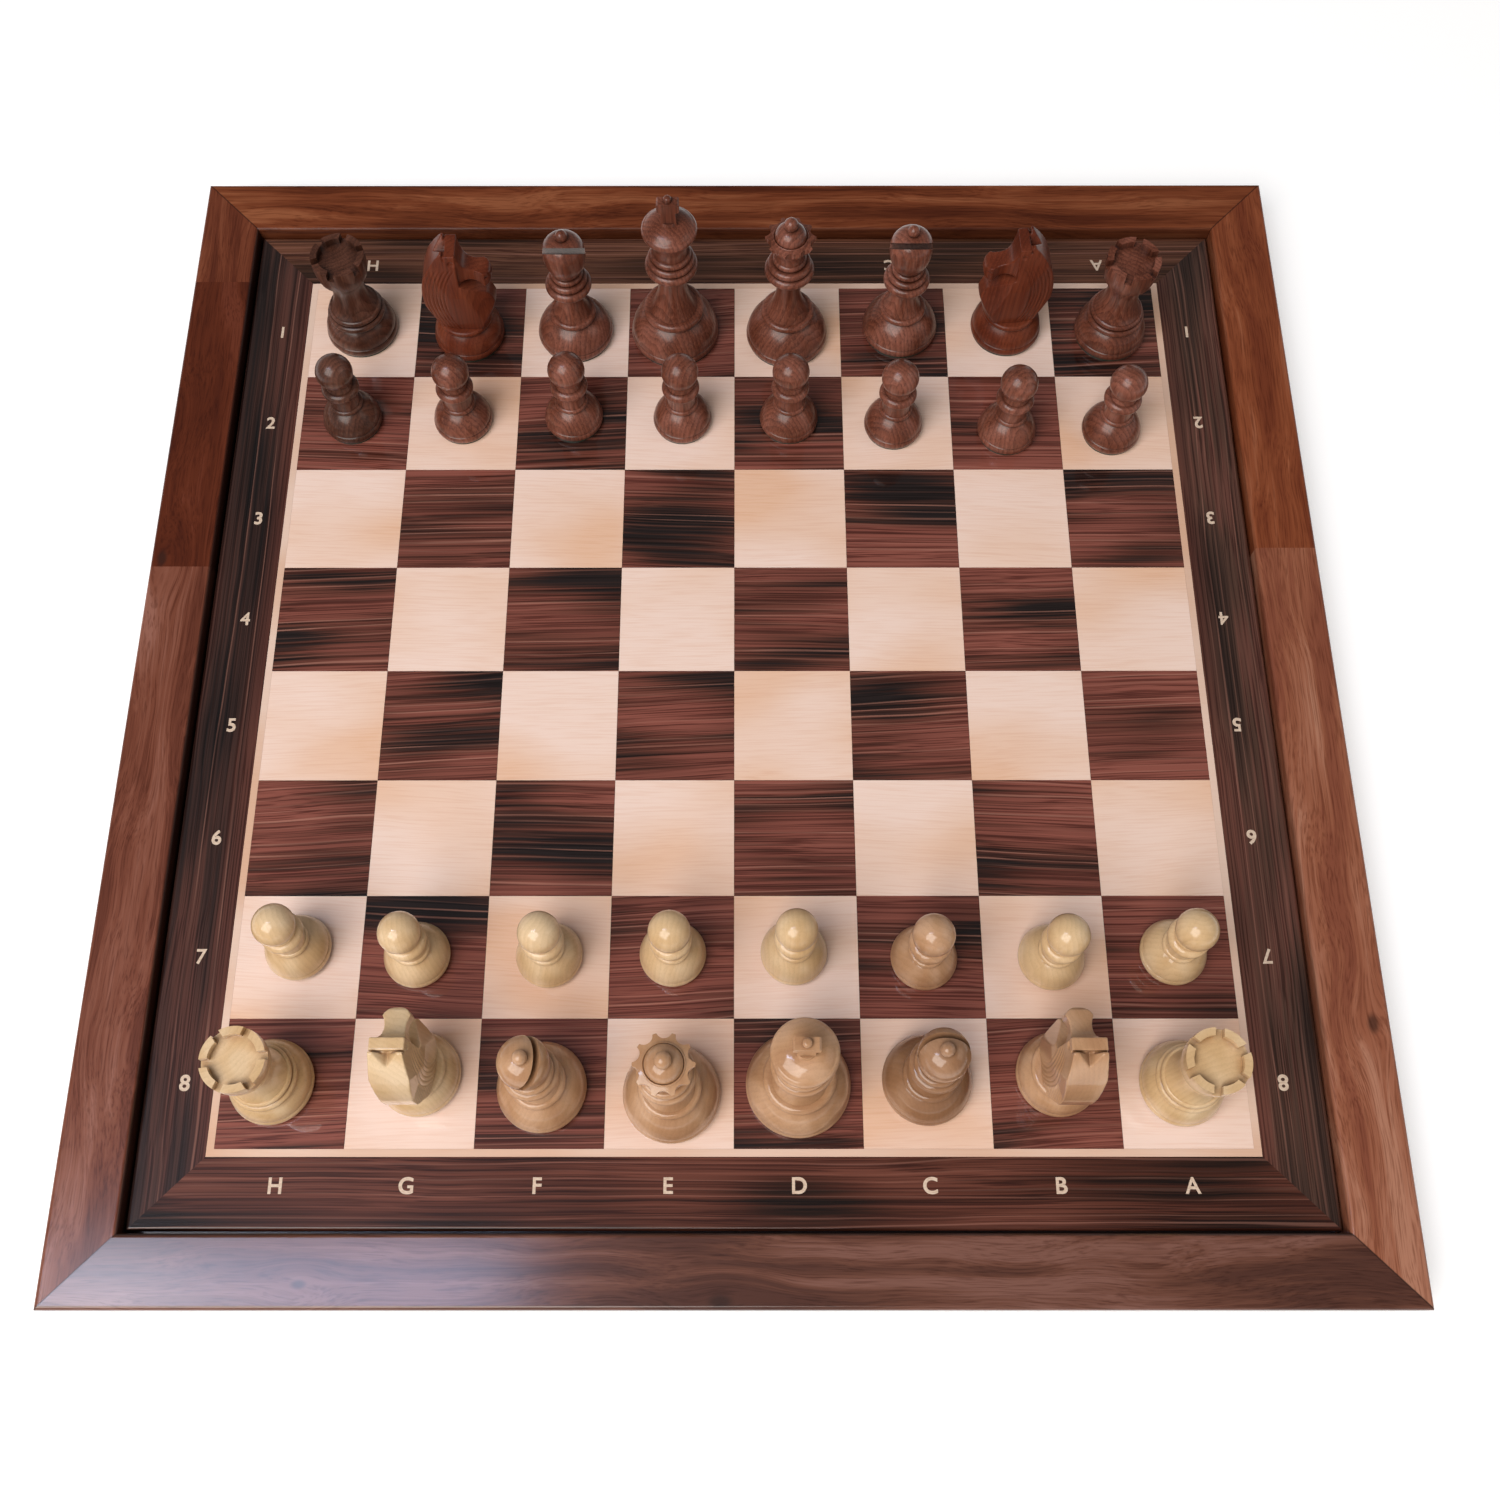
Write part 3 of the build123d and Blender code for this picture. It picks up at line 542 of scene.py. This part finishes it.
def turned_wood(name, tones, line, line_share, fleck, coat, coat_roughness, crease_shade_mm=4.0):
    """Turned and polished hardwood: even tone, fine rings and upright lines, painted shade in the creases,
    small soft highlights.
    """
    material, tree = new_tree(name)
    space = grain_space(tree, "Z", per_square=True, wander=2.0)
    place = put(tree, "ShaderNodeTexCoord", out="Object")
    upright = put(tree, "ShaderNodeSeparateXYZ", {0: place}, out="Z")
    broad = streaks(tree, space, 80.0, 12.0, 1.0)
    wood = put(tree, "ShaderNodeValToRGB", {0: broad}, ramp=list(zip(men_stops, tones)))
    rings = growth_rings(tree, space)
    late = put(tree, "ShaderNodeMapRange", {0: rings, 1: 0.3, 2: 0.95, 3: 0.0, 4: line_share})
    wood = blend(tree, late, wood, colour(line))
    lines = streaks(tree, space, 60.0, 0.7, 2.0)
    dark = put(tree, "ShaderNodeMapRange", {0: lines, 1: 0.48, 2: 0.32, 3: 0.0, 4: line_share})
    wood = blend(tree, dark, wood, colour(line))
    bright = {0: lines, 1: 0.56, 2: 0.72, 3: 0.0, 4: fleck_share * line_share}
    bright = put(tree, "ShaderNodeMapRange", bright)
    wood = blend(tree, bright, wood, colour(fleck))
    # Painted shade: where little open air surrounds a point, the wood is laid over with its dark line colour
    air = {"Distance": crease_shade_mm / 1000}
    open_air = put(tree, "ShaderNodeAmbientOcclusion", air, out="AO", samples=8, only_local=True)
    crease_shade = {0: open_air, 1: crease_shade_air[0], 2: crease_shade_air[1], 3: crease_shade_depth, 4: 0.0}
    crease_shade = put(tree, "ShaderNodeMapRange", crease_shade)
    # The dark line colour serves the real growth lines above and the painted shade here
    wood = blend(tree, crease_shade, wood, colour(line))
    felt_top = (play_top_mm + felt_mm) / 1000
    felt = put(tree, "ShaderNodeMath", {0: upright, 1: felt_top}, operation="LESS_THAN")
    shade = blend(tree, felt, wood, colour(felt_tone))
    finish(tree, shade, lines, 0.003, 0.36, coat, coat_roughness)
    return material


print("growth rings in mm", ring_mm)

# %% [markdown]
# Most men take their side's usual tone. The browner light ones, the almost black dark ones and the carved
# knights are listed by name. On the satin rosewood the painted shade covers wider hollows, so its creases
# reach 8 mm.

# %% Dress the men
pale_tones = ("#cdaa7d", "#d5b489", "#ddc099")
brown_tones = ("#ad825f", "#b88e6a", "#c39b7a")
umber_tones = ("#8d6547", "#987051", "#a37c5e")
red_tones = ("#643627", "#764434", "#875242")
deep_tones = ("#482a1f", "#563427", "#643f32")
carved_tones = ("#5a2717", "#672f1d", "#743a26")
pale_box = turned_wood("boxwood_pale", pale_tones, "#8a6038", 0.09, "#e6cfa6", 0.8, 0.1)
brown_box = turned_wood("boxwood_brown", brown_tones, "#6f4a2c", 0.09, "#d2ad88", 0.8, 0.1)
umber_box = turned_wood("boxwood_umber", umber_tones, "#5f3f28", 0.1, "#b8957a", 0.8, 0.1)
red_rose = turned_wood("rosewood_red", red_tones, "#240e07", 0.36, "#a86c52", 0.5, 0.22, 8.0)
deep_rose = turned_wood("rosewood_deep", deep_tones, "#1a0b06", 0.36, "#7f503c", 0.5, 0.22, 8.0)
carved_rose = turned_wood("rosewood_carved", carved_tones, "#34150c", 0.3, "#8d4f36", 0.15, 0.2)
other_woods = {
    brown_box: (
        "light_queen_e",
        "light_king_d",
        "light_king_cross_d",
        "light_bishop_f",
        "light_pawn_c",
        "light_knight_b",
        "light_knight_head_b",
    ),
    umber_box: ("light_bishop_c",),
    deep_rose: ("dark_rook_h", "dark_pawn_h"),
    carved_rose: ("dark_knight_g", "dark_knight_head_g", "dark_knight_b", "dark_knight_head_b"),
}
man_wood = {}
for name in nodes:
    side, _, man = name.partition("_")
    if side in ("light", "dark") and man != "squares":
        man_wood[name] = pale_box if side == "light" else red_rose
for wood, names in other_woods.items():
    man_wood.update(dict.fromkeys(names, wood))
for name, wood in man_wood.items():
    dress(wood, name)
print("nodes of the men", len(man_wood), "nodes dressed", len(dressed))

# %% [markdown]
# ## Hidden board and feet
# Under the veneers lie a fibre core and a backing sheet, and the frame stands on felt pads. They show only
# from below, so they get plain finishes with a fine mottle.

# %% Core, backing and foot pads
def mottled(name, dark, pale, grit_mm, roughness):
    """Pressed fibre: an even mottle of short hairs, quite dull."""
    material, tree = new_tree(name)
    space = grain_space(tree, "X")
    hairs = streaks(tree, space, grit_mm, grit_mm, 4.0)
    shade = put(tree, "ShaderNodeValToRGB", {0: hairs}, ramp=[(0.3, dark), (0.7, pale)])
    finish(tree, shade, hairs, 0.05, roughness, 0.0, 0.5)
    return material


dress(mottled("fibre_core", "#8d6a48", "#b08a63", 1.5, 0.8), "panel_core")
dress(mottled("backing_veneer", "#6e4c36", "#8a644a", 2.5, 0.6), "backing_sheet")
dress(mottled("foot_felt", "#26332a", "#3a4a3e", 0.8, 0.95), "foot_pads")
print("nodes dressed", len(dressed), "of", len(nodes))

# %% [markdown]
# ## Notation
# Cream letters and figures are printed on the border under the lacquer. Each row is one short string whose
# signs stand on a fixed step, so one Geometry Nodes tree makes all four: it spreads the signs, turns them
# about their own middles, pushes the outlines out to a bolder weight, fills them, which leaves them flat on
# the ground, lifts them to the border and gives them a film's thickness. The far letters and the right-hand
# figures stand upside down, to be read from that side.

# %% Cream print, and helpers for shapes that follow a rule
cream, tree = new_tree("cream_print")
flecks = streaks(tree, grain_space(tree, "X"), 1.2, 0.5, 2.0)
ink = put(tree, "ShaderNodeValToRGB", {0: flecks}, ramp=[(0.3, "#c7ad97"), (0.6, "#dcc6b1")])
finish(tree, ink, flecks, 0.002, 0.35, 0.8, 0.08)


def shape_tree(name, sockets, result):
    """A Geometry Nodes tree, the identifiers of its inputs, and those inputs to link from."""
    made = bpy.data.node_groups.new(name, "GeometryNodeTree")
    keys = {}
    for title, kind in sockets.items():
        socket = made.interface.new_socket(title, in_out="INPUT", socket_type="NodeSocket" + kind)
        keys[title] = socket.identifier
    made.interface.new_socket(result, in_out="OUTPUT", socket_type="NodeSocketGeometry")
    return made, keys, put(made, "NodeGroupInput", out=None).outputs


def add_rule(body, tree, keys, values):
    """Let a tree shape a body, with the tree's inputs set by their identifiers."""
    rule = body.modifiers.new(tree.name, "NODES")
    rule.node_group = tree
    for title, value in values.items():
        rule[keys[title]] = value


def settle(body):
    """The plain mesh that a body's modifiers make. The body itself goes."""
    mesh = bpy.data.meshes.new_from_object(body.evaluated_get(bpy.context.evaluated_depsgraph_get()))
    bpy.data.objects.remove(body)
    return mesh


def mesh_from(shape, name):
    """The mesh of a bmesh, which is let go."""
    mesh = bpy.data.meshes.new(name)
    shape.to_mesh(mesh)
    shape.free()
    return mesh


print("ink", cream.name)

# %% [markdown]
# The tree works on instances, one for each sign, until all stand in place. Only then are they realized and
# their outlines resampled. A curve's tangent crossed with the upright gives the way out of the sign.

# %% Tree for a row of signs
row_sockets = {
    "Signs": "String",
    "Type size": "Float",
    "First": "Vector",
    "Step": "Vector",
    "Turn": "Vector",
    "Weight": "Float",
    "Film": "Float",
    "Ink": "Material",
}
weld_distance = 1e-6
row_tree, row_keys, given = shape_tree("notation_row", row_sockets, "Print")
signs = put(
    row_tree,
    "GeometryNodeStringToCurves",
    {"String": given["Signs"], "Size": given["Type size"]},
    out=None,
    pivot_mode="MIDPOINT",
)
middle = signs.outputs["Pivot Point"]
number = put(row_tree, "GeometryNodeInputIndex")
here = put(row_tree, "GeometryNodeInputPosition")
along = put(row_tree, "ShaderNodeVectorMath", {0: given["Step"], "Scale": number}, operation="SCALE")
goal = put(row_tree, "ShaderNodeVectorMath", {0: given["First"], 1: along}, operation="ADD")
goal = put(row_tree, "ShaderNodeVectorMath", {0: goal, 1: here}, operation="SUBTRACT")
goal = put(row_tree, "ShaderNodeVectorMath", {0: goal, 1: middle}, operation="SUBTRACT")
spread = put(
    row_tree,
    "GeometryNodeTranslateInstances",
    {0: signs.outputs["Curve Instances"], "Translation": goal, "Local Space": False},
)
turned = put(
    row_tree,
    "GeometryNodeRotateInstances",
    {0: spread, "Rotation": given["Turn"], "Pivot Point": middle, "Local Space": True},
)
loose = put(row_tree, "GeometryNodeRealizeInstances", {0: turned})
outline = put(row_tree, "GeometryNodeResampleCurve", {0: loose}, mode="EVALUATED")
running = put(row_tree, "GeometryNodeInputTangent")
outward = put(row_tree, "ShaderNodeVectorMath", {0: running, 1: (0.0, 0.0, 1.0)}, operation="CROSS_PRODUCT")
outward = put(row_tree, "ShaderNodeVectorMath", {0: outward, "Scale": given["Weight"]}, operation="SCALE")
bold = put(row_tree, "GeometryNodeSetPosition", {0: outline, "Offset": outward})
filled = put(row_tree, "GeometryNodeFillCurve", {0: bold})
level = put(row_tree, "ShaderNodeSeparateXYZ", {0: given["First"]}, out="Z")
rise = put(row_tree, "ShaderNodeCombineXYZ", {2: level})
filled = put(row_tree, "GeometryNodeSetPosition", {0: filled, "Offset": rise})
film = {0: filled, "Offset Scale": given["Film"], "Individual": False}
raised = put(row_tree, "GeometryNodeExtrudeMesh", film)
under = put(row_tree, "GeometryNodeFlipFaces", {0: filled})
closed = put(row_tree, "GeometryNodeJoinGeometry", {0: raised}, out=None)
row_tree.links.new(under, closed.inputs[0])
welded = {0: closed.outputs[0], "Distance": weld_distance}
welded = put(row_tree, "GeometryNodeMergeByDistance", welded)
plain = put(row_tree, "GeometryNodeRealizeInstances", {0: welded})
inked = put(row_tree, "GeometryNodeSetMaterial", {0: plain, "Material": given["Ink"]})
put(row_tree, "NodeGroupOutput", {0: inked}, out=None)
print("nodes in the row's tree", len(row_tree.nodes))

# %% [markdown]
# The letters run from right to left for the near player, who sits behind the light men, and the figures grow
# towards that player. The signs' middles stand over the middles of the squares.

# %% Print the notation
type_size = 0.0084
bold_weight = 0.00024
film_height = 0.00007
print_low = 0.01715
row_place = 0.2135
column_place = 0.2145
first_square = 0.175
square_step = square_mm / 1000
upside_down = (0.0, 0.0, radians(180))


def printed_row(signs, first, step, turn):
    """The mesh of one row: where its first sign stands, the step from sign to sign, and their turn."""
    carrier = add_object("row_carrier", bpy.data.meshes.new("row_carrier"))
    looks = {"Type size": type_size, "Weight": bold_weight, "Film": film_height, "Ink": cream}
    places = {"Signs": signs, "First": first, "Step": step, "Turn": turn}
    add_rule(carrier, row_tree, row_keys, {**places, **looks})
    return settle(carrier)


rows = [
    printed_row("HGFEDCBA", (-first_square, -row_place, print_low), (square_step, 0, 0), (0, 0, 0)),
    printed_row("HGFEDCBA", (-first_square, row_place, print_low), (square_step, 0, 0), upside_down),
    printed_row("12345678", (-column_place, first_square, print_low), (0, -square_step, 0), (0, 0, 0)),
    printed_row("12345678", (column_place, first_square, print_low), (0, -square_step, 0), upside_down),
]
shape = bmesh.new()
for row in rows:
    shape.from_mesh(row)
notation_mesh = mesh_from(shape, "notation")
notation_mesh.materials.append(cream)
notation = add_object("notation", notation_mesh)
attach(notation, "board")
tall = [v.co.y for v in rows[0].vertices]
print("cap height in mm", round((max(tall) - min(tall)) * 1000, 2), "faces", len(notation_mesh.polygons))

# %% [markdown]
# ## Knights' heads
# The CAD heads have the right mass but crisp planes. A real one is filed and sanded, then the mane is scored
# with lines that follow its edge, and on the light heads a comb of short cuts is made low on the flank. A
# voxel remesh turns the solid into an even skin that softens its edges, and a Geometry Nodes tree pushes that
# skin inwards along the cuts. It works in the head's own frame, so one tree serves all four heads.

# %% Curve of the mane
mane_low = Vector((-12.0, 17.2))
mane_back = Vector((-15.6, 33.0))
mane_top = Vector((-3.1, 66.8))


def circle_through(a, b, c):
    """The middle and radius of the circle through three points."""
    ax, ay, bx, by = a.x - c.x, a.y - c.y, b.x - c.x, b.y - c.y
    across = 2 * (ax * by - ay * bx)
    x = (by * (ax * ax + ay * ay) - ay * (bx * bx + by * by)) / across
    y = (ax * (bx * bx + by * by) - bx * (ax * ax + ay * ay)) / across
    return Vector((x + c.x, y + c.y)), Vector((x, y)).length


mane_centre, mane_radius = circle_through(mane_low, mane_back, mane_top)
print("mane arc centre", tuple(mane_centre), "radius", round(mane_radius, 2))

# %% [markdown]
# The tree first turns every place into the head's own frame, in millimetres with x towards the nose, and
# measures how far inside the mane's edge it lies. Cuts are made only where the skin faces sideways.

# %% Head's own frame
flank_from = 0.3
flank_full = 0.6
carve_sockets = {
    "Skin": "Geometry",
    "Foot": "Vector",
    "Turn": "Float",
    "Line start": "Float",
    "Line pitch": "Float",
    "Line depth": "Float",
    "Comb pitch": "Float",
    "Comb depth": "Float",
    "Wood": "Material",
}
carve, carve_keys, given = shape_tree("carved_head", carve_sockets, "Head")
here = put(carve, "GeometryNodeInputPosition")
local = put(carve, "ShaderNodeVectorMath", {0: here, 1: given["Foot"]}, operation="SUBTRACT")
back_turn = put(carve, "ShaderNodeMath", {0: given["Turn"], 1: -1.0}, operation="MULTIPLY")
local = put(carve, "ShaderNodeVectorRotate", {"Vector": local, "Angle": back_turn}, rotation_type="Z_AXIS")
local = put(carve, "ShaderNodeVectorMath", {0: local, "Scale": 1000.0}, operation="SCALE")
split = put(carve, "ShaderNodeSeparateXYZ", {0: local}, out=None).outputs
from_x = put(carve, "ShaderNodeMath", {0: split["X"], 1: mane_centre.x}, operation="SUBTRACT")
from_z = put(carve, "ShaderNodeMath", {0: split["Z"], 1: mane_centre.y}, operation="SUBTRACT")
arm = put(carve, "ShaderNodeCombineXYZ", {0: from_x, 1: from_z})
arm_length = put(carve, "ShaderNodeVectorMath", {0: arm}, out="Value", operation="LENGTH")
inset = put(carve, "ShaderNodeMath", {0: mane_radius, 1: arm_length}, operation="SUBTRACT")
out_normal = put(carve, "GeometryNodeInputNormal")
facing = {"Vector": out_normal, "Angle": back_turn}
facing = put(carve, "ShaderNodeVectorRotate", facing, rotation_type="Z_AXIS")
facing_y = put(carve, "ShaderNodeSeparateXYZ", {0: facing}, out="Y")
sideness = put(carve, "ShaderNodeMath", {0: facing_y}, operation="ABSOLUTE")
flank = put(carve, "ShaderNodeMapRange", {0: sideness, 1: flank_from, 2: flank_full})
print("nodes in the carving tree", len(carve.nodes))

# %% [markdown]
# The mane's lines lie side by side at a fixed pitch, as grooves that are steep and narrow. They fade in where
# they start, and out towards the cheek and the ears. The comb's teeth do the same up the flank.

# %% Lines of the mane and teeth of the comb
groove_share = 0.22
fade_mm = 1.0
# Each pair below says where there is no cut yet and where it has its full depth, in mm
lines_end = (10.0, 8.5)
lines_top = (58.0, 52.0)
comb_low = (18.5, 19.5)
comb_top = (41.0, 40.0)
comb_end = (6.5, 5.0)
# A tooth is fully cut up to the first share of its pitch, and ends at the second
tooth_share = (0.06, 0.3)

wave = put(carve, "ShaderNodeMath", {0: inset, 1: given["Line pitch"]}, operation="DIVIDE")
wave = put(carve, "ShaderNodeMath", {0: wave, 1: 0.5}, operation="PINGPONG")
line = put(carve, "ShaderNodeMapRange", {0: wave, 1: 0.0, 2: groove_share, 3: 1.0, 4: 0.0})
within = put(carve, "ShaderNodeMath", {0: inset, 1: given["Line start"]}, operation="SUBTRACT")
start = put(carve, "ShaderNodeMapRange", {0: within, 1: -fade_mm, 2: 0.0})
stop = put(carve, "ShaderNodeMapRange", {0: within, 1: lines_end[0], 2: lines_end[1]})
high = put(carve, "ShaderNodeMapRange", {0: split["Z"], 1: lines_top[0], 2: lines_top[1]})
for share in (start, stop, high, given["Line depth"]):
    line = put(carve, "ShaderNodeMath", {0: line, 1: share}, operation="MULTIPLY")

rise = put(carve, "ShaderNodeMath", {0: split["Z"], 1: given["Comb pitch"]}, operation="DIVIDE")
rise = put(carve, "ShaderNodeMath", {0: rise, 1: 0.5}, operation="PINGPONG")
tooth = {0: rise, 1: tooth_share[0], 2: tooth_share[1], 3: 1.0, 4: 0.0}
tooth = put(carve, "ShaderNodeMapRange", tooth)
for measure, (none, full) in ((split["Z"], comb_low), (split["Z"], comb_top), (inset, comb_end)):
    share = put(carve, "ShaderNodeMapRange", {0: measure, 1: none, 2: full})
    tooth = put(carve, "ShaderNodeMath", {0: tooth, 1: share}, operation="MULTIPLY")
tooth = put(carve, "ShaderNodeMath", {0: tooth, 1: given["Comb depth"]}, operation="MULTIPLY")
cut = put(carve, "ShaderNodeMath", {0: line, 1: tooth}, operation="MAXIMUM")
cut = put(carve, "ShaderNodeMath", {0: cut, 1: flank}, operation="MULTIPLY")
print("nodes in the carving tree", len(carve.nodes))

# %% [markdown]
# The eye lies below the brow and the nostril near the tip of the muzzle: two shallow round holes on either
# side. The deepest cut at each place then pushes the skin inwards along its normal.

# %% Eye, nostril and the cut itself
# Each hole: place towards the nose, height and radius in mm, and its depth in metres
eye = (1.0, 61.2, 1.5, 0.00055)
nostril = (14.6, 49.0, 1.0, 0.0006)
# The share of its radius over which a hole is fully deep
hole_floor = 0.6

for spot_x, spot_z, spot_size, spot_depth in (eye, nostril):
    off_x = put(carve, "ShaderNodeMath", {0: split["X"], 1: spot_x}, operation="SUBTRACT")
    off_z = put(carve, "ShaderNodeMath", {0: split["Z"], 1: spot_z}, operation="SUBTRACT")
    off = put(carve, "ShaderNodeCombineXYZ", {0: off_x, 1: off_z})
    reach = put(carve, "ShaderNodeVectorMath", {0: off}, out="Value", operation="LENGTH")
    hole = {0: reach, 1: hole_floor * spot_size, 2: spot_size, 3: spot_depth, 4: 0.0}
    hole = put(carve, "ShaderNodeMapRange", hole)
    hole = put(carve, "ShaderNodeMath", {0: hole, 1: flank}, operation="MULTIPLY")
    cut = put(carve, "ShaderNodeMath", {0: cut, 1: hole}, operation="MAXIMUM")
inward = put(carve, "ShaderNodeMath", {0: cut, 1: -1.0}, operation="MULTIPLY")
move = put(carve, "ShaderNodeVectorMath", {0: out_normal, "Scale": inward}, operation="SCALE")
carved = put(carve, "GeometryNodeSetPosition", {0: given["Skin"], "Offset": move})
plain = put(carve, "GeometryNodeRealizeInstances", {0: carved})
waxed = put(carve, "GeometryNodeSetMaterial", {0: plain, "Material": given["Wood"]})
put(carve, "NodeGroupOutput", {0: waxed}, out=None)
print("nodes in the carving tree", len(carve.nodes))

# %% [markdown]
# Each head takes its place from the foot that it stands on. The copy is merged first, because the solids
# arrive as loose triangles. A rasp then dishes the face: it falls steeply from the brow and runs out level
# along the nose. The rasp is a prism that a Boolean takes away before the remesh, and the skin is smoothed a
# little afterwards, as sandpaper would.

# %% Rasp for the face
brow_front = 3.0
brow_rise = 11.5
brow_curve = 1.3
nose_end = 16.2
nose_level = 51.4
nose_slope = 0.28
dish_step = 0.6
dish_points = 23
rasp_front = 22.0
rasp_top = 75.0
rasp_half = 20.0


def face_rasp(place, turn):
    """A prism above the dished face, from the brow to past the nose, in the head's own frame."""
    dish = []
    for number in range(dish_points):
        x = brow_front + dish_step * number
        hollow = brow_rise * exp((brow_front - x) / brow_curve)
        dish.append((x, nose_level + nose_slope * (nose_end - x) + hollow))
    outline = dish + [(rasp_front, dish[-1][1]), (rasp_front, rasp_top), (brow_front, rasp_top)]
    shape = bmesh.new()
    flat = shape.faces.new([shape.verts.new((x, -rasp_half, z)) for x, z in outline])
    swept = bmesh.ops.extrude_face_region(shape, geom=[flat])["geom"]
    moved = [part for part in swept if isinstance(part, bmesh.types.BMVert)]
    bmesh.ops.translate(shape, verts=moved, vec=(0.0, 2 * rasp_half, 0.0))
    bmesh.ops.recalc_face_normals(shape, faces=shape.faces)
    shape.transform(Matrix.Translation(place) @ Matrix.Rotation(turn, 4, "Z") @ Matrix.Scale(0.001, 4))
    return add_object("face_rasp", mesh_from(shape, "face_rasp"))


print("rasp from brow to nose in mm", brow_front, nose_end)

# %% [markdown]
# The dark heads' lines start at the mane's edge. The light heads have theirs further in, behind the comb.

# %% Carve the four heads
play_top = play_top_mm / 1000
merge_distance = 1e-6
skin_voxel = 0.00035
sanding_strength = 0.5
sanding_passes = 3
line_looks = {"Line pitch": 1.7, "Line depth": 0.00045, "Comb pitch": 2.7}


def carved_head(node, foot, turn, line_start, comb_depth):
    """Carve a head on its foot, facing by turn in degrees, and put it in its CAD node's place."""
    low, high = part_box(foot)
    place = ((low[0] + high[0]) / 2, (low[1] + high[1]) / 2, play_top)
    rasp = face_rasp(place, radians(turn))
    shape = bmesh.new()
    shape.from_mesh(nodes[node].data)
    bmesh.ops.remove_doubles(shape, verts=shape.verts, dist=merge_distance)
    block = add_object(node + "_block", mesh_from(shape, node + "_carved"))
    filing = block.modifiers.new("filing", "BOOLEAN")
    filing.operation = "DIFFERENCE"
    filing.solver = "EXACT"
    filing.object = rasp
    skin = block.modifiers.new("skin", "REMESH")
    skin.mode = "VOXEL"
    skin.voxel_size = skin_voxel
    sanding = block.modifiers.new("sanding", "SMOOTH")
    sanding.factor = sanding_strength
    sanding.iterations = sanding_passes
    own_looks = {"Line start": line_start, "Comb depth": comb_depth, "Wood": man_wood[node]}
    places = {"Foot": place, "Turn": radians(turn)}
    add_rule(block, carve, carve_keys, {**places, **line_looks, **own_looks})
    done = settle(block)
    bpy.data.objects.remove(rasp)
    done.shade_smooth()
    piece = add_object(node + "_carved", done)
    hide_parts(node)
    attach(piece, foot)
    return len(done.polygons)


faces = [
    carved_head("dark_knight_head_g", "dark_knight_g", 0.0, 1.5, 0.0),
    carved_head("dark_knight_head_b", "dark_knight_b", 183.0, 1.5, 0.0),
    carved_head("light_knight_head_g", "light_knight_g", 90.0, 6.0, 0.0012),
    carved_head("light_knight_head_b", "light_knight_b", 90.0, 6.0, 0.0012),
]
print("faces of the carved heads", faces)
